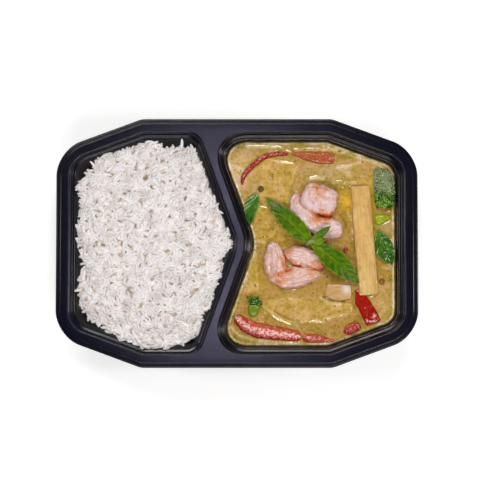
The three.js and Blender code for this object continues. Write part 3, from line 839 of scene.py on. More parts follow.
def paint(bm, name, verts, value):
    # value is a number, or a function of place, along and around
    layer, along, around = layersOf(bm, name, "along", "around")
    for vert in verts:
        vert[layer] = value(vert.co, vert[along], vert[around]) if callable(value) else value


def makeBody(name, mat, slot, nodes, stops, move, paints, **shape):
    # a whole piece: its body, its relief and its number layers
    bm = freshMesh("along", "around", *paints)
    verts = tube(bm, stops, **shape)
    if move:
        roughen(bm, verts, move)
    for layer, value in paints.items():
        paint(bm, layer, verts, value)
    finishPiece(bm, name, mat, slot, *nodes)


def sunkTo(high, low, share, least=0.0):
    # how deep in the sauce a place lies, from the height high to the height low
    return lambda co, along, around: max(least, share * float(blend(high, low, co.z)))


def spot(co, x, y, radius):
    return math.exp(-((co.x - x) ** 2 + (co.y - y) ** 2) / radius ** 2)


# prawns
prawnForm = {
    "upper": [
        [(45.6, 34.6, 25.8, 6.6, 3.8), (49.5, 33.0, 27.4, 9.4, 5.6), (55.5, 31.0, 28.2, 10.6, 6),
            (62.5, 28.6, 28, 10.2, 5.8), (68.8, 26.6, 26.4, 8.8, 4.4)],
        [(44.4, 35.4, 25, 2.4, 2.6), (41.4, 30, 26.4, 4.2, 3.8), (42.6, 23.6, 27, 5.8, 4.6),
            (48.4, 17.4, 27.2, 7, 5.1), (57, 12.4, 27.2, 7.4, 5.2), (66.6, 10.8, 27.2, 7.4, 5.2),
            (73, 13.2, 26, 5.4, 4.2)],
    ],
    "lower": [
        [(24, 4, 25.2, 2, 2.2), (25.2, -3, 26.4, 4.8, 4.2), (26.2, -11, 27, 7.4, 5.2),
            (27.4, -18.4, 26.8, 7.8, 5.2), (31.6, -23.6, 26.2, 7.2, 4.8), (40, -23.4, 26.3, 7.6, 4.9),
            (50, -20.8, 25.8, 7.2, 4.4), (61, -18.9, 24.4, 4, 2.8)],
        [(32.4, -6.6, 25.6, 3, 3.2), (39, -7.4, 26.8, 5.8, 4.6), (47, -9.8, 27, 7.2, 4.9),
            (55, -13.4, 26.2, 6.6, 4.4), (62.2, -17.6, 25, 3.6, 3)],
    ],
    # folds of the flesh: half width, depth and the line
    "folds": {
        "upper": [(1.1, 0.9, [(55.3, 39.4), (56.4, 34), (62.2, 32), (68.6, 30.5)]),
            (0.7, 0.6, [(38.6, 29.1), (42.5, 33.5), (46, 34)]),
            (0.8, 0.6, [(38.6, 24.7), (43.5, 23.6), (48.4, 19.7), (52.3, 17.7)]),
            (0.8, 0.4, [(50.2, 36), (50.6, 31), (53, 27)])],
        "lower": [(0.7, 0.5, [(22.8, -3.4), (23.8, -12.8), (22.8, -20.6)]),
            (0.7, 0.55, [(26.6, -2), (28.4, -10.8), (27.7, -19.6)]),
            (0.7, 0.5, [(30.4, -8.8), (32.4, -14.7)]),
            (1.0, 0.9, [(23.8, -23.6), (30.7, -20.6), (37.5, -17.7)]),
            (0.7, 0.5, [(25.8, -27.5), (33.6, -25.5), (38.6, -23.6)]),
            (0.8, 0.6, [(48.4, -17.7), (56.3, -18.7), (61.2, -20.6)])],
    },
    "segment": 8.6,  # length of one ring of the body
    "groove": 0.16,
    "warmth": {"upper": 0.0, "lower": 0.13},
    "crease": 1.0,  # how far the orange of a crease, darkened as painted shade, reaches
    # places where the creases are darkened most towards brown, as painted shade: x, y and radius
    "shadedCreases": {"upper": [(64, 22.4, 7)], "lower": [(36.4, -10.6, 4.6), (42.4, -15.6, 4)]},
    "segments": (70, 72),  # rings and sides of a lobe
    "body": (0.9, 5.5),  # squareness and length of the rounded ends
    "blocky": (0.72, 3.4),  # the same for the upper prawn's first lobe
    "stain": (28.7, 26.2, 0.8),  # sauce on the flesh: from and to which height, and share
    # flushed places: x, y, radius and amount
    "blushes": {
        "upper": [(54, 36, 5.5, 0.3), (62, 38, 4, 0.2), (62, 18.5, 4, 0.75), (55, 17.5, 4, 0.6),
                  (68, 20, 3, 0.6), (42, 28, 3, 0.1)],
        "lower": [(34, -14, 3.6, 0.35), (31, -21.5, 3, 0.3), (36.4, -19.4, 3, 0.3), (30, -25, 3.4, 0.3),
                  (59, -15, 5, 0.5), (64, -19, 4, 0.4), (52, -20, 4, 0.25), (36, -5, 3, 0.3)],
    },
    "seed": {"upper": 2.0, "lower": 5.0},
}


def prawnFinish():
    mat = Finish("cookedPrawn", 0.34, 0.25, (0.3, 3, (1.0, 0.45, 0.32)), (0.6, 0.1))
    fibre = mat.strands(4.0, 34.0, 2.0, Z=mat.read("lobe"))
    flush = mat.vary(mat.read("flush"), mat.mottle(4.5, 4, 0.65), 0.42, 1.0)
    flush = mat.vary(flush, fibre, 0.48, 0.34)
    body = mat.ramp(flush, (0.0, (228, 204, 207)), (0.22, (224, 190, 182)), (0.5, (216, 156, 122)),
                    (0.8, (206, 116, 70)), (1.0, (146, 62, 26)))
    mat.colour(mat.mix(mat.read("stain"), body, (186, 138, 84)))
    mat.bump((fibre, 0.2), (mat.mottle(1.4), 0.25))
    return mat


def roundNoise(along, around, stretch, turns, number):
    # noise in lengthwise and crosswise numbers that meets itself round the body
    angle = math.tau * around
    return noise.noise((along * stretch, math.cos(angle) * turns + number * 9, math.sin(angle) * turns))


def seams(along, around, number):
    # thin lengthwise lines where the layers of flesh part
    return max(0.0, 1 - abs(roundNoise(along, around, 1.6, 1.1, number)) / 0.07)


def creaseDepths(lobes):
    # for each lobe, how close each of its vertices lies to another lobe
    shells = []
    for verts in lobes:
        index = {vert: k for k, vert in enumerate(verts)}
        faces = {face for vert in verts for face in vert.link_faces}
        shells.append(BVHTree.FromPolygons([vert.co for vert in verts],
                                           [[index[vert] for vert in face.verts] for face in faces]))
    return [{vert: max(math.exp(-(shell.find_nearest(vert.co)[3] / prawnForm["crease"]) ** 2)
                       for shell in shells if shell is not own) for vert in verts}
            for verts, own in zip(lobes, shells)]


def buildPrawn(name, mat):
    form, seed = prawnForm, prawnForm["seed"][name]
    bm = freshMesh("along", "around", "flush", "stain", "lobe")
    along, around, flushed = layersOf(bm, "along", "around", "flush")
    rings, sides = form["segments"]
    stainFrom, stainTo, stainShare = form["stain"]
    bodies = []
    for number, stops in enumerate(form[name]):
        length = sum(math.dist(a[:3], b[:3]) for a, b in zip(stops, stops[1:]))
        count = max(2, round(length / form["segment"]))
        square, tip = form["blocky"] if (name, number) == ("upper", 0) else form["body"]
        verts = tube(bm, stops, rings=rings, sides=sides, square=square, tip=tip)

        def relief(co, along, around):
            ring = (along * count + 0.35) % 1
            plate = form["groove"] * (ring - 0.5 - math.exp(-((ring - 0.03) / 0.08) ** 2))
            lumps = 1.2 * lump(co, 6, seed) + 0.6 * lump(co, 2.3, seed)
            strands = 0.55 * roundNoise(along, around, 3, 4.5, number) - 0.3 * seams(along, around, number)
            return plate * math.sin(math.pi * min(1, along * 1.02)) ** 0.5 + lumps + strands
        carved = nearLines(*np.array([vert.co[:2] for vert in verts]).T, form["folds"][name])
        roughen(bm, verts, relief)
        bodies.append(verts)
        for vert, depth in zip(verts, carved):
            vert.co.z -= depth
            ring = (vert[along] * count + 0.35) % 1
            band = form["warmth"][name] + 0.05 * math.exp(-((ring - 0.12) / 0.12) ** 2)
            edge = 0.22 * abs(math.cos(math.tau * vert[around])) ** 5
            seam = 0.13 * seams(vert[along], vert[around], number)
            blush = sum(amount * spot(vert.co, *place) for *place, amount in form["blushes"][name])
            vert[flushed] = 0.35 * depth + band + edge + seam + blush
        paint(bm, "stain", verts, lambda co, along, around: stainShare * float(
            blend(stainFrom + 1.2 * ripple(co.x, co.y, 4), stainTo, co.z)))
        paint(bm, "lobe", verts, number * 7.3)
    # where lobes lie close the flush rises: the creases' own orange, pushed towards dark brown as painted
    # shade, fully at the listed places
    for depths in creaseDepths(bodies):
        for vert, depth in depths.items():
            shadedCrease = max(spot(vert.co, *place) for place in form["shadedCreases"][name])
            vert[flushed] += depth * (0.25 + 0.75 * shadedCrease)
    finishPiece(bm, "prawn_" + name + "_body", mat, "prawn", "prawn_" + name)
    print("prawn", name, "ready")


# basil
basil = {
    # base, tip, width, widest place, arch, bow, fold, wave, veins, quilting and glow of each blade
    "sprig": [
        ((50.5, 1.5, 34.4), (20.4, 32.0, 28.9), 13.4, 0.36, 2.6, 0.4, -0.14, 0.4, 9, 0.45, 0.26),
        ((51.2, 0.8, 34.4), (84.6, -27.2, 30.8), 15.0, 0.5, 1.8, 0.8, -0.1, 0.8, 8, 0.6, 0.28),
        ((51.6, 0.9, 35.4), (64.8, 11.8, 36.2), 5.4, 0.45, 0.8, 0, 0.22, 0.2, 5, 0.1, 0.36),
        ((52.2, 0.4, 35.3), (60.6, 1.6, 36.2), 4.4, 0.5, 0.7, 0, 0.2, 0.1, 4, 0.1, 0.6),
    ],
    "sunken": {
        "basil_leaf_left": (
            (13.8, 35.2, 27.3), (9.0, 12.6, 27.2), 9.4, 0.42, 1.3, -1.8, -0.12, 0.6, 6, 0.25, 0.2),
        "basil_leaf_right": (
            (98.6, 8.6, 27.4), (108.0, -15.0, 27.2), 13.4, 0.5, 2.0, -0.6, -0.12, 1.5, 5, 0.7, 0.2),
    },
    "stem": [(47.6, -1.6, 33.9, 0.8, 0.8), (50.6, 0.9, 35.0, 1.7, 1.2), (54.4, 1.4, 35.2, 1.0, 0.8)],
    "grid": (84, 24),
    "thickness": 0.45,
    "layers": ("along", "around", "vein", "glow"),
}


def leafFinish(name, dark, mid, light, gloss, veins):
    mat = Finish(name, 0.4, 0.1, (0.08, 1, redSoak), (gloss, 0.08))
    cells = mat.mottle(0.6, 2)
    tone = mat.vary(mat.read("glow"), mat.mottle(5), 0.5, 1.3)
    body = mat.ramp(tone, (0.0, dark), (0.45, mid), (1.0, light))
    body = mat.mix(mat.mask(mat.strands(3.5, 8.0, 3.0), 0.5, 0.7, 0.35), body, light)
    body = mat.mix(mat.times(mat.read("vein"), veins), body, light)
    mat.colour(mat.mix(mat.times(cells, 0.35), body, dark))
    mat.bump((cells, 0.06))
    return mat


def blade(bm, base, tip, width, widest, arch, bow, fold, wave, veins, quilt, glow):
    # one leaf from its base to its tip, with a midrib, side veins and the quilting between them
    along, around, vein, glowing = layersOf(bm, *basil["layers"])
    columns, rows = basil["grid"]
    verts = bmesh.ops.create_grid(bm, x_segments=columns, y_segments=rows, size=0.5)["verts"]
    base, tip = Vector(base), Vector(tip)
    way = (tip - base).normalized()
    side = Vector((-way.y, way.x, 0)).normalized()
    power = math.log(0.5) / math.log(widest)
    for vert in verts:
        share, across = vert.co.x + 0.5, vert.co.y * 2
        out = abs(across)
        swell = max(math.sin(math.pi * share ** power), 0) ** 0.8
        # the side veins of the two halves are set against each other
        count = share * veins - out * (1.1 + 0.5 * share) + (0.4 if across > 0 else 0)
        cell = count % 1
        lines = max(0.0, 1 - min(cell, 1 - cell) / 0.13) * (1 - out ** 2)
        rib = math.exp(-(across * swell / 0.07) ** 2)
        half = width / 2 * max(swell, 0.035) * (1 + 0.035 * math.sin(count * math.tau) * out)
        rise = math.sin(math.pi * share)
        point = base.lerp(tip, share) + side * (across * half + bow * rise)
        point.z += arch * rise + fold * half * out
        point.z += wave * across * math.sin(math.tau * 1.3 * share + across)
        point.z += quilt * (math.sin(math.pi * cell) ** 0.7 - 0.5) * min(1, out * 4) * swell
        point.z -= 0.35 * rib * swell * (1 - share) + 0.05
        vert.co = point
        vert[along], vert[around] = share, across
        vert[vein] = max(lines * 0.6, rib * (1 - 0.7 * share))
        # the blade's tone, lighter at its base, with a paler rim round the edge that is a painted highlight
        vert[glowing] = glow + blend(0.84, 0.98, out) * 0.6 + 0.35 * (1 - share) ** 4


def thicken(piece):
    wall = piece.modifiers.new("thickness", "SOLIDIFY")
    wall.thickness = basil["thickness"] * mm
    wall.offset = -1


def buildBasil():
    green = leafFinish("basilLeaf", (34, 66, 0), (80, 118, 0), (146, 168, 14), 0.12, 0.5)
    bm = freshMesh(*basil["layers"])
    for form in basil["sprig"]:
        blade(bm, *form)
    thicken(finishPiece(bm, "basil_leaves", green, "basil", "basil_sprig"))
    stemGreen = leafFinish("basilStem", (96, 112, 48), (128, 142, 76), (172, 176, 120), 0.15, 0.35)
    makeBody("basil_node", stemGreen, "basil", (), basil["stem"], None, {"glow": 0.5},
             rings=20, sides=18, tip=1.4)
    sunk = leafFinish("sunkenLeaf", (20, 68, 6), (78, 130, 24), (140, 178, 74), 0.8, 0.15)
    for name, form in basil["sunken"].items():
        bm = freshMesh(*basil["layers"])
        blade(bm, *form)
        thicken(finishPiece(bm, name + "_blade", sunk, "basil", name))
    print("basil ready")


# bamboo shoot
bamboo = {
    # name: stops, squareness, ridge height, way of the fibres in degrees from X
    "bamboo_long_strip": ([(91.6, -36.2, 27.2, 6.7, 2.0), (90.4, -20, 27.5, 6.8, 2.1),
        (88.7, 2, 27.6, 6.7, 2.1), (87.1, 22, 27.4, 6.6, 2.1), (86.2, 40.6, 26.9, 6.6, 2.0)],
        0.26, 0.3, 94),
    "bamboo_chip": ([(61.9, -32.4, 25.6, 4.2, 1.6), (70.6, -34, 26.0, 6.0, 1.7),
        (79.8, -33.4, 26.5, 4.6, 1.6)], 0.45, 0.12, 5),
    "bamboo_back_slab": ([(24.6, 26.4, 25, 9, 1.95), (27, 40, 25, 10.6, 1.95),
        (30.6, 58.4, 25, 12.6, 1.95)], 0.28, 0.14, 70),
    "bamboo_side_slab": ([(16.6, 2.2, 25, 3.4, 1.95), (20.4, 13, 25, 8.8, 1.95),
        (23.2, 25.2, 25, 8.8, 1.95)], 0.3, 0.14, 60),
    "bamboo_front_slab": ([(20, -42, 25, 3, 1.9), (34, -46, 25, 8.6, 1.95), (54, -47.6, 25, 6.8, 1.95),
        (80.6, -45.6, 25, 3.4, 1.9)], 0.34, 0.14, -6),
    "bamboo_edge_strip": ([(9.8, -34, 25.1, 5.4, 1.7), (10.2, -20, 25.1, 4.2, 1.7),
        (12.2, -5, 25.1, 1.6, 1.6)], 0.34, 0.12, 80),
}
# rings, sides, pale and deep flesh
bambooLook = {
    "bamboo_long_strip": (110, 84, (228, 192, 124), (206, 160, 84)),
    "bamboo_chip": (60, 60, (212, 176, 132), (184, 134, 62)),
    "sunken": (60, 60, (208, 165, 98), (184, 134, 62)),
}
sunkenCuts = [name + "_cut" for name in bamboo if "slab" in name or "edge" in name]


def bambooFinish(name, way, pale, deep):
    mat = Finish(name, 0.36, 0.25, (0.12, 2, (1.0, 0.7, 0.35)), (0.5, 0.12))
    fine = mat.mottle(0.55, 3, 0.6, mat.stretched(22, way))
    broad = mat.mottle(4.2, place=mat.stretched(5, way))
    flesh = mat.ramp(mat.maths("MULTIPLY_ADD", fine, 0.5, mat.times(broad, 0.5)), (0.36, deep), (0.6, pale))
    flesh = mat.mix(mat.mask(mat.mottle(6, 4, 0.65), 0.5, 0.64, 0.75), flesh, (202, 158, 92))
    # a painted highlight: a pale pink-white spot where the chip's layer for it is set
    flesh = mat.mix(mat.read("glareSpot"), flesh, (230, 218, 212))
    mat.colour(mat.mix(mat.read("stain"), flesh, (179, 133, 52)))
    mat.bump((fine, 0.16), (mat.mottle(1.2), 0.07))
    return mat


def buildBamboo():
    for name, (stops, square, ridge, way) in bamboo.items():
        rings, sides, pale, deep = bambooLook.get(name, bambooLook["sunken"])
        turn = math.radians(way)
        level = max(stop[2] + stop[4] for stop in stops)
        sunk = sunkTo(level - 0.5, level - 2.2, 0.9)

        def relief(co, along, around):
            across = -co.x * math.sin(turn) + co.y * math.cos(turn)
            down = co.x * math.cos(turn) + co.y * math.sin(turn)
            strands = noise.noise((across / 1.1, down / 30, 1.0))
            strands += 0.6 * noise.noise((across / 0.55, down / 14, 4.0))
            return ridge * strands + 0.1 * ripple(co.x, co.y, 6, 2.0)

        def stain(co, along, around):
            edge = abs(math.cos(math.tau * around)) + 0.25 * ripple(co.x, co.y, 5)
            return max(sunk(co, along, around), 0.5 * float(blend(0.76, 0.95, edge)))
        paints = {"stain": stain}
        if name == "bamboo_chip":
            # the pale spot at the chip's right end is a painted highlight
            paints = {"glareSpot": lambda co, along, around: 0.9 * spot(co, 76.3, -31.8, 3.0),
                      "stain": sunkTo(level - 0.4, level - 1.8, 0.8)}
        mat = bambooFinish(name + "_flesh", turn, pale, deep)
        makeBody(name + "_cut", mat, "bamboo", [name], stops, relief, paints,
                 rings=rings, sides=sides, square=square, tip=1.1)
    print("bamboo ready")


# red pepper
pepper = {
    # name: stops, squareness, crinkle height, size of a crinkle, flesh share on top
    "pepper_arc": ([(3.2, 41.2, 26.6, 1.1, 1.3), (4.6, 47, 26.8, 1.6, 1.7), (8.2, 51.8, 27, 1.8, 1.9),
        (12.6, 56, 27, 1.7, 1.9), (19, 60.4, 27, 1.6, 1.8), (27, 62.6, 26.9, 1.5, 1.7),
        (36.4, 62.8, 26.7, 1, 1.2)], 0.85, 0.3, 1.5, 0.6),
    "pepper_window": ([(37.8, 63.2, 26.4, 0.8, 1.0), (43, 62.4, 26.6, 1.9, 1.5), (49, 61.3, 26.6, 3.1, 1.8),
        (56, 60.3, 26.6, 4.1, 1.9), (63, 59.9, 26.6, 4.4, 1.8), (68.4, 60.4, 26.3, 3.7, 1.5)], 0.9,
        0.16, 1.9, 0.55),
    "pepper_strip": ([(-1.2, -50.6, 26, 3.0, 1.9), (5.2, -56.2, 26.4, 4.8, 2.2),
        (13.6, -60, 26.5, 5.2, 2.3), (24, -61.9, 26.5, 5, 2.3), (35, -63.4, 26.4, 4.4, 2.1),
        (44.6, -65, 26.1, 3.2, 1.6)], 0.62, 0.45, 1.7, 0.95),
    "pepper_tail": ([(45.4, -65.2, 26.1, 2.4, 1.4), (52, -66, 26.3, 3.2, 1.6), (59, -66.6, 26.2, 2.8, 1.4),
        (68, -67.8, 26, 1, 0.9)], 0.7, 0.3, 1.2, 0.75),
    "pepper_curl": ([(74.0, -62, 26.1, 2.2, 1.5), (79.2, -59.6, 26.7, 3.6, 2), (85.6, -56.4, 26.6, 3, 1.6)],
        0.75, 0.45, 1.4, 0.6),
    "pepper_wedge": ([(83.0, -32.0, 26.6, 1.5, 1.2), (84.4, -35.2, 26.7, 2.0, 1.4),
        (86.4, -39.0, 26.8, 4.6, 1.6), (90.6, -46.6, 26.9, 5.3, 1.7), (94.0, -53.4, 26.8, 5.4, 1.6),
        (95.2, -56.2, 26.7, 5.2, 1.5)], 0.55, 0.35, 3.6, 0.0),
}
pepperBit = [(74.6, -6.2, 26.6, 1.2, 1.1), (76, -4.4, 26.8, 1.7, 1.3), (76.6, -2.6, 26.6, 1.1, 1)]


def pepperFinish():
    mat = Finish("redPepper", 0.3, 0.1, (0.12, 2, redSoak), (0.6, 0.06))
    flesh = mat.vary(mat.read("flesh"), mat.mottle(1.5, 3, 0.65), 0.5, 2.0)
    body = mat.ramp(flesh, (0.0, (160, 20, 0)), (0.25, (136, 18, 8)), (0.5, (158, 44, 38)),
                    (0.78, (196, 98, 90)), (1.0, (240, 190, 178)))
    body = mat.mix(mat.read("rind"), body, (190, 90, 34))
    mat.colour(mat.mix(mat.read("stain"), body, (188, 120, 56)))
    mat.bump((mat.mottle(1.2, 2), 0.3), (mat.mottle(0.4, 2), 0.05))
    return mat


def buildPepper():
    mat = pepperFinish()
    for name, (stops, square, crinkle, size, top) in pepper.items():
        def relief(co, along, around):
            return 1.6 * crinkle * lump(co, size, 3) + 0.1 * ripple(co.x, co.y, 5)

        def rind(co, along, around):
            return 0.85 * float(blend(0.35, 0.9, math.cos(math.tau * around) + 0.6 * ripple(co.x, co.y, 3)))
        wedge = name == "pepper_wedge"
        paints = {"stain": sunkTo(27.0, 25.6, 0.6, 0.4 if name == "pepper_window" else 0.0)}
        if wedge:
            # the cut flesh shows along the right edge
            paints["flesh"] = lambda co, along, around: 1.35 * spot(co, 95.6, -50.6, 4.0) - 0.45
        else:
            paints["flesh"] = lambda co, along, around: top * max(0.0, math.sin(math.tau * around)) ** 1.6
            paints["rind"] = rind
        makeBody(name + "_cut", mat, "pepper", [name], stops, relief, paints, rings=90, sides=40,
                 square=square, tip=1.0 if wedge else 2.2)
    makeBody("pepper_bit_cut", mat, "pepper", ["pepper_bit"], pepperBit, None,
             {"flesh": 0.35, "stain": 0.1}, rings=20, sides=20, tip=1.4)
    print("pepper ready")


# broccoli, small floret and peppercorn
greens = {
    # crown and stalk, count and size of the buds, tone of the stalk
    "broccoli_floret": (
        [(100.4, 52.6, 26, 3.6, 3.4), (102.4, 46, 27.2, 6.4, 4.4), (103, 38, 27.4, 6.8, 4.6),
         (103.2, 30, 27.2, 6.4, 4.4), (102.4, 24.6, 26.4, 4.2, 3.2)],
        [(108.2, 19.0, 26, 0.9, 1.4), (104, 18.1, 26.4, 2.4, 1.9), (99.6, 16.8, 26.6, 3.8, 2.1),
         (96.4, 15.6, 26.4, 4.6, 1.9)], 900, (0.45, 0.95), 0.6),
    "small_floret": (
        [(9.6, -37.2, 26.6, 2.6, 2.2), (12.2, -40.4, 27.2, 4.4, 3), (14.4, -43.2, 26.6, 2.6, 2.2)],
        [(12.4, -41.4, 26.4, 3.4, 2), (11.4, -46, 27, 3.9, 2.2), (10.6, -51.4, 26.2, 2.8, 1.6)],
        90, (0.5, 0.8), 0.1),
}
peppercorn = [(16.0, 36.2, 26.8, 1.4, 1.2), (16.8, 38.2, 27.2, 2.1, 1.8), (17.4, 40.2, 26.8, 1.4, 1.2)]
budSeed = 5


def greenFinish(name, stops, size, bump, coat=0.5):
    mat = Finish(name, 0.4, 0.2, (0.1, 1.5, redSoak), (coat, 0.12))
    tone = mat.maths("MULTIPLY_ADD", mat.mottle(size), 0.6, mat.times(mat.read("tone"), 0.5))
    mat.colour(mat.ramp(tone, *stops))
    mat.bump((mat.mottle(size / 3, 2), bump))
    return mat


def creamOver(mat, low, high, share):
    # cream runs over the far part of a piece, between two places along Y
    away = mat.node("SeparateXYZ", {"Vector": mat.place}, "Y")
    wavy = mat.maths("MULTIPLY_ADD", mat.mottle(3), 8 * mm, away)
    ends = {"Value": wavy, "From Min": low * mm, "From Max": high * mm, "To Max": share}
    film = mat.node("MapRange", ends, interpolation_type="SMOOTHSTEP")
    below = mat.shader.inputs["Base Color"].links[0].from_socket
    mat.colour(mat.mix(film, below, (160, 164, 126)))


def smallBall():
    bm = bmesh.new()
    bmesh.ops.create_icosphere(bm, subdivisions=1, radius=1)
    return bm


def budPlaces(stops, count, random, size):
    # points on the upper half of a body along the stops
    line = smoothLine(stops, 60)
    places = []
    for _ in range(count):
        x, y, z, width, height = line[random.integers(3, 57)]
        angle = random.uniform(-0.25, math.pi + 0.25)
        swell = random.uniform(0.92, 1.06)
        scale = random.uniform(*size)
        places.append((x + math.cos(angle) * width * swell, y + random.uniform(-1, 1),
                       z + math.sin(angle) * height * swell, random.uniform(0, 6), random.uniform(0, 3), 0,
                       scale, scale * random.uniform(0.8, 1.1), scale, 0))
    return places


def buildGreens():
    random = np.random.default_rng(budSeed)
    head = greenFinish("broccoliBuds", [(0.3, (14, 56, 0)), (0.52, (64, 120, 4)), (0.74, (142, 184, 58))],
                       2.8, 0.15, 0.9)
    creamOver(head, 36, 42, 0.66)
    stalk = greenFinish("broccoliStalk",
                        [(0.15, (76, 98, 0)), (0.4, (122, 142, 4)), (0.75, (176, 186, 30))], 3.5, 0.2, 0.6)
    for name, (body, stem, count, size, tone) in greens.items():
        makeBody(name + "_crown", head, "greens", [name], body,
                 lambda co, along, around: 1.5 * lump(co, 3.4) - 0.4, {"tone": 0.1},
                 rings=30, sides=28, tip=4)
        scatter(name + "_buds", [smallBall()], budPlaces(body, count, random, size), head, "greens", random)
        makeBody(name + "_stalk", stalk, "greens", (), stem,
                 lambda co, along, around: 0.35 * ripple(co.x, co.y, 3, 5), {"tone": tone},
                 rings=30, sides=28, square=0.85, tip=2.4)
    olive = greenFinish("peppercornSkin", [(0.2, (58, 44, 2)), (0.7, (112, 90, 10))], 1.2, 0.4)
    makeBody("peppercorn_berry", olive, "peppercorn", ["peppercorn"], peppercorn,
             lambda co, along, around: 0.25 * lump(co, 0.8), {"tone": 0.4}, rings=24, sides=24, tip=1.8)
    print("greens ready")


# curry sauce
sauce = {
    "level": 26.5,
    "inset": 5.42,
    "spacing": 0.72,
    "middle": (60, 0),
    "rings": 108,
    "rim": (0.5, 1.4),  # height and reach of the raised edge at the wall
    "cling": (0.5, 1.35),  # the same round the pieces
    "film": 0.22,  # sauce over the sunken slabs
    # folds of the oily skin, which catch the light: half width and height, then the lines
    "folds": {
        (1.55, 0.53): [[(51.5, 45.2), (55.8, 46.2), (60.2, 45.4)],
                       [(60.5, 68.4), (78, 62.4), (96, 56.8), (101.6, 53.5)]],
        (1.40, 0.47): [[(67.5, 42.8), (73.5, 43.1)], [(75, 41.9), (79, 42.5), (82.8, 42.1)],
                       [(69.6, 53.2), (78, 54.4), (86.2, 56.6)], [(7, 67.9), (18, 67.7), (30.6, 67.2)],
                       [(-4, -58), (0, -62.6), (9, -66.4), (24, -68.3), (43, -68.8)],
                       [(58.6, -37.8), (64, -41.2), (72, -42.6)]],
        (1.24, 0.42): [[(35.4, 29.6), (38, 33.2), (41.6, 35.8)], [(77.6, 21.2), (79, 19), (80, 16.4)],
                       [(80.6, 10), (80.9, 7.4)], [(12.4, 3.2), (16, 1.3), (20.6, 0.4)],
                       [(40, 65.6), (55, 66), (68.6, 65)], [(16.6, -42.4), (28, -51.2), (42, -57.4)],
                       [(55.6, -53), (60.6, -54.8)], [(102, -17), (107, -17.6)]],
        (1.08, 0.37): [[(80, -16), (81, -18.6)]],
    },
    "base": (176, 134, 72),
    # tints are (colour, x, y, reach in x, reach in y, share)
    "tints": [
        # the pale pink-cream patch in the upper left corner is partly cream and partly a painted sheen
        ((230, 192, 158), 2, 51, 11, 15, 0.95),
        ((198, 148, 48), 19, 54, 9, 7, 0.6),
        ((196, 158, 42), 19, 22, 8, 7, 0.6),
        ((214, 164, 40), 76.4, 29, 4.2, 9.5, 0.95),
        ((180, 140, 26), 94.4, 33, 2.4, 13, 0.8),
        ((206, 164, 66), 89, 44, 8, 4, 0.7),
        ((214, 180, 136), 103, -42, 8, 16, 0.75),
        ((198, 160, 56), 97, 43, 5, 9, 0.6),
        ((138, 130, 30), 96.5, 10, 3.5, 12, 0.75),
        ((146, 108, 46), 66, -22, 7, 5, 0.5),
        ((193, 155, 97), 30, 46, 26, 18, 0.6),
        ((162, 138, 75), 8, 68, 30, 5, 0.7),
        ((179, 155, 102), 62, 47, 16, 9, 0.6),
        ((195, 151, 92), 88, 54, 16, 12, 0.6),
        ((212, 174, 130), 78, 50, 9, 6, 0.7),
        ((160, 125, 75), 58, 40, 10, 5, 0.4),
        ((204, 157, 75), 28, 10, 16, 14, 0.7),
        ((195, 153, 65), 12, -26, 10, 16, 0.6),
        ((151, 123, 57), 10, -66, 30, 6, 0.85),
        ((193, 155, 90), 52, -42, 24, 10, 0.6),
        ((189, 146, 65), 102, -34, 10, 26, 0.6),
        ((202, 181, 146), 105, 12, 5, 8, 0.5),
        ((160, 98, 26), 101, -26.6, 1.0, 1.0, 0.8),
    ],
    # dark lines beside the folds and pieces: half width, share and the line
    "shades": [
        (0.9, 0.75, [(60.4, -37.4), (66, -38.9), (74.5, -40.4)]), (0.8, 0.5,
            [(26, -47.2), (34, -51.6), (44, -55.2)]),
        (1.4, 0.25, [(58, 44), (64, 42.4), (69, 38)]), (1.2, 0.3, [(22, 1.4), (20.4, -8), (19.2, -18)]),
        (1.0, 0.4, [(72, 20), (74.5, 16.5), (76.5, 12)]), (1.2, 0.35,
            [(31, -31.6), (40, -29.6), (52, -27.4)]),
    ],
    "shadeTint": (84, 60, 18),
    "drop": ((101, -26.6), 1.5, 0.8, 0.8),  # an oil ring: middle, radius, half width and share
    "slabTint": (203, 160, 90),
    # colour of a painted highlight along the edges of the slabs under the film
    "slabEdgeHighlight": (222, 188, 112),
    # colour of the painted highlights along the wall and on the tops of the folds
    "highlightTint": (236, 218, 192),
    "crestHighlight": 2.4,  # how strongly a fold is painted with highlight along its top
    "darkEdgeTint": (62, 44, 34),  # dark brown painted along the sauce's edge at the wall
    "thinShare": 0.92,
    "bottom": 3,
    "clearance": 0.4,
    "crowding": 1.12,  # how much closer the rings lie at the wall
    "slabShare": 0.7,
    "softening": 6,
    "shore": (1.9, 0.7),  # the painted highlight line: distance from the wall and half width
    "thin": (1.5, 0.7),  # where the dark edge starts and is full
}


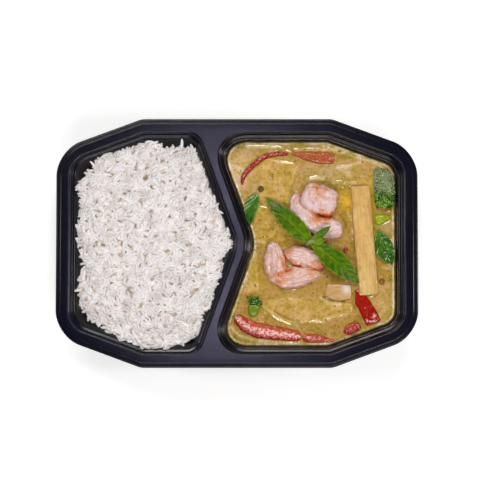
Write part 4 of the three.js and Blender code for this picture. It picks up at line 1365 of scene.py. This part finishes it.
def sauceFinish():
    mat = Finish("greenCurry", 0.32, 0.2, (0.15, 2.5, (1.0, 0.75, 0.4)), (1.0, 0.06))
    swirl = mat.noise(mat.place, 75.0, 4.0, 0.6, 1.4)
    broad = mat.ramp(swirl, (0.36, (0.72, 0.82, 0.4, 1)), (0.46, (0.98, 1.03, 0.7, 1)),
                     (0.53, (1.02, 1.06, 1.0, 1)), (0.64, (1.2, 1.24, 1.6, 1)))
    fine = mat.ramp(mat.mottle(2.2, 4, 0.65), (0.34, (0.7, 0.74, 0.42, 1)), (0.47, (1, 1.02, 0.95, 1)),
                    (0.64, (1.14, 1.14, 1.3, 1)))
    body = mat.mix(1.0, mat.read("tint", "Color"), broad, "MULTIPLY")
    body = mat.mix(1.0, body, fine, "MULTIPLY")
    # fine herb specks: a few of the small cells are dark in their middle
    cells = mat.node("TexVoronoi", {"Vector": mat.place, "Scale": 480.0}, "Color").node.outputs
    chosen = mat.maths("GREATER_THAN", mat.node("SeparateColor", {"Color": cells["Color"]}), 0.95)
    close = mat.maths("LESS_THAN", cells["Distance"], 0.26)
    mat.colour(mat.mix(mat.times(mat.maths("MULTIPLY", chosen, close), 0.6), body, (104, 84, 24)))
    crumbs = mat.mask(mat.mottle(1.3, 2), 0.58, 0.72)
    mat.bump((mat.mottle(2.6, 2), 0.05), (crumbs, 0.12), (mat.mottle(0.7, 2), 0.01))
    return mat


def treeOf(names):
    # one search tree of finished pieces, in millimetres
    bm = bmesh.new()
    for name in names:
        bm.from_mesh(bpy.data.objects[name].data)
    bmesh.ops.scale(bm, vec=(1000, 1000, 1000), verts=bm.verts)
    tree = BVHTree.FromBMesh(bm)
    bm.free()
    return tree


def treeWithout(*names):
    # one search tree of all pieces of the curry but these
    names += ("tray_shell", "rice_core", "rice_grains")
    return treeOf([o.name for o in bpy.data.objects if o.get("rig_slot") and o.name not in names])


def lookDown(tree, x, y):
    # the highest place of a tree at (x, y)
    return tree.ray_cast(Vector((x, y, 50)), -up)[0]


def sauceColour(x, y):
    colour = np.array(sauce["base"], float)
    for tint, tx, ty, rx, ry, share in sauce["tints"]:
        colour = over(colour, tint, share * math.exp(-((x - tx) / rx) ** 2 - ((y - ty) / ry) ** 2))
    return colour


def buildSauce():
    bm = bmesh.new()
    bm.verts.layers.float_color.new("tint")
    middle = Vector((*sauce["middle"], 0))
    level, rings = sauce["level"], sauce["rings"]
    ring = evenLoop(bm, curryMouth, sauce["inset"], level, sauce["spacing"])
    wall = vertsOf(ring)
    lower = nextRing(bm, ring, lambda co: Vector((co.x, co.y, sauce["bottom"])))
    drawIn(lower, curryMouth, middle, sauce["clearance"])
    bmesh.ops.holes_fill(bm, edges=lower, sides=0)
    steps = [step / rings for step in range(1, rings)]
    shrinkRing(bm, ring, middle, level, [1 - step ** sauce["crowding"] for step in steps])
    top = [vert for vert in bm.verts if vert.co.z > level - 1]
    slabs = treeOf(sunkenCuts)
    standing = treeWithout("basil_leaves", "basil_node", *sunkenCuts)
    topX, topY = np.array([v.co.x for v in top]), np.array([v.co.y for v in top])
    toWall = insideOutline(roundedOutline(curryMouth, sauce["inset"]), topX, topY)
    folds = [(*size, line) for size, lines in sauce["folds"].items() for line in lines]
    folds = nearLines(topX, topY, folds)
    (dropX, dropY), radius, half, share = sauce["drop"]
    shades = np.maximum(nearLines(topX, topY, sauce["shades"]),
                        share * bell(np.hypot(topX - dropX, topY - dropY) - radius, half))
    tint = bm.verts.layers.float_color["tint"]
    rise, reach = sauce["cling"]
    wallRise, wallReach = sauce["rim"]
    shoreAt, shoreHalf = sauce["shore"]
    bulge = {}
    for vert, edge, fold, shade in zip(top, toWall, folds, shades):
        x, y = vert.co.x, vert.co.y
        hit = lookDown(slabs, x, y)
        bulge[vert] = hit.z - level + sauce["film"] if hit else 0.0
        near = standing.find_nearest(Vector((x, y, level)))[3]
        uneven = float(np.clip(0.5 + 1.9 * ripple(x, y, 6.5, 7), 0.08, 1.25))
        lift = rise * uneven * bell(near, reach)
        lift += wallRise * (0.35 + 0.65 * uneven) * math.exp(-max(edge, 0) / wallReach)
        vert.co.z = level + max(lift, fold) + 0.16 * ripple(x, y, 9) + 0.07 * ripple(x, y, 3.2, 5)
        colour = over(sauceColour(x, y), sauce["slabTint"], sauce["slabShare"] if hit else 0)
        colour = over(colour, sauce["shadeTint"], shade)
        # painted highlights: a pale line along the wall and on the tops of the folds
        shore = min(1, 0.45 + uneven) * bell(edge - shoreAt, shoreHalf)
        colour = over(colour, sauce["highlightTint"], max(shore, sauce["crestHighlight"] * fold ** 2))
        # the sauce is darkened towards dark brown along its edge at the wall
        thin = blend(*sauce["thin"], edge + 0.5 * ripple(x, y, 5, 4)) * sauce["thinShare"]
        vert[tint] = srgb(*over(colour, sauce["darkEdgeTint"], thin))
    # the rise over the slabs is softened before it is added
    for _ in range(sauce["softening"]):
        bulge = {v: (h + sum(bulge.get(e.other_vert(v), h) for e in v.link_edges)) / (1 + len(v.link_edges))
                 for v, h in bulge.items()}
    # painted highlight where the film rises over a slab's edge
    slabEdgeHighlight = srgb(*sauce["slabEdgeHighlight"])
    for vert in top:
        vert[tint] = over(np.array(vert[tint]), slabEdgeHighlight, 0.3 * bell(bulge[vert] - 0.33, 0.17))
        if bulge[vert] > 0.05:
            vert.co.z += bulge[vert] + 0.12 * ripple(vert.co.x, vert.co.y, 4.5, 9)
        else:
            vert.co.z += bulge[vert]
    for vert in wall:
        vert.co.z += 0.2 * ripple(vert.co.x, vert.co.y, 8, 3)
    surface = finishPiece(bm, "curry_surface", sauceFinish(), "sauce", "curry_sauce")
    print("sauce", len(surface.data.polygons))


# herb flecks and oil drops on the sauce
flecks = {
    "count": 120,
    "size": (0.28, 0.85),
    "named": [(53, -34.6, 1.3), (44, -37.4, 1.1), (53.8, -50.5, 1.1), (61.4, -53.2, 1.2), (71.1, -58, 1.1),
        (46.9, -58.6, 1.0), (62.8, -23.5, 1.2), (29, 37.1, 1.0), (33.8, 5.4, 1.2), (13.2, -29.7, 1.1),
        (81.4, -7, 1.2), (31, 65.4, 1.0), (88, 57, 1.1), (79, 60, 1.0), (86, 46, 1.0)],
    "oil": 46,
    "oilSize": (0.5, 1.3),
    "field": (-16, 110, -71, 71),
    "fromWall": 1.5,
    "flatness": 0.22,
    "oilFlatness": 0.16,
    "seed": 31,
}


def buildFlecks():
    random = np.random.default_rng(flecks["seed"])
    tree = treeOf(["curry_surface"])
    others = treeWithout("curry_surface")
    outline = roundedOutline(curryMouth, sauce["inset"] + flecks["fromWall"])
    left, right, low, high = flecks["field"]

    def drop(count, size, flat, lift):
        places = []
        while len(places) < count:
            x, y = random.uniform(left, right), random.uniform(low, high)
            if insideOutline(outline, np.array([x]), np.array([y]))[0] < 0:
                continue
            hit, cover = lookDown(tree, x, y), lookDown(others, x, y)
            if not hit or cover and cover.z > hit.z - 0.1:
                continue
            wide = random.uniform(*size)
            places.append((x, y, hit.z + lift, random.uniform(0, 6.2), random.normal(0, 0.12),
                           random.normal(0, 0.12), wide, wide * random.uniform(0.4, 1), wide * flat, 0))
        return places
    herb = greenFinish("herbFlecks", [(0.25, (92, 80, 16)), (0.75, (150, 124, 40))], 0.8, 0.1, 0.3)
    places = drop(flecks["count"], flecks["size"], flecks["flatness"], 0.02)
    for x, y, wide in flecks["named"]:
        z = lookDown(tree, x, y).z + 0.05
        places.append((x, y, z, random.uniform(0, 6.2), 0, 0, wide * 0.62, wide * 0.42, 0.16, 0))
    ball = smallBall()
    for vert in ball.verts:
        vert.co *= random.uniform(0.75, 1.2)
    scatter("herb_flecks", [ball], places, herb, "greens", random)
    oil = greenFinish("oilDrops", [(0.25, (178, 142, 46)), (0.75, (204, 176, 92))], 2, 0.02, 1.0)
    bm = bmesh.new()
    bmesh.ops.create_uvsphere(bm, u_segments=12, v_segments=7, radius=1)
    places = drop(flecks["oil"], flecks["oilSize"], flecks["oilFlatness"], 0.0)
    scatter("oil_drops", [bm], places, oil, "sauce", random)


buildStudio()
buildTray()
buildRice()
prawnFlesh = prawnFinish()
for prawn in ("upper", "lower"):
    buildPrawn(prawn, prawnFlesh)
buildBasil()
buildBamboo()
buildPepper()
buildGreens()
buildSauce()
buildFlecks()
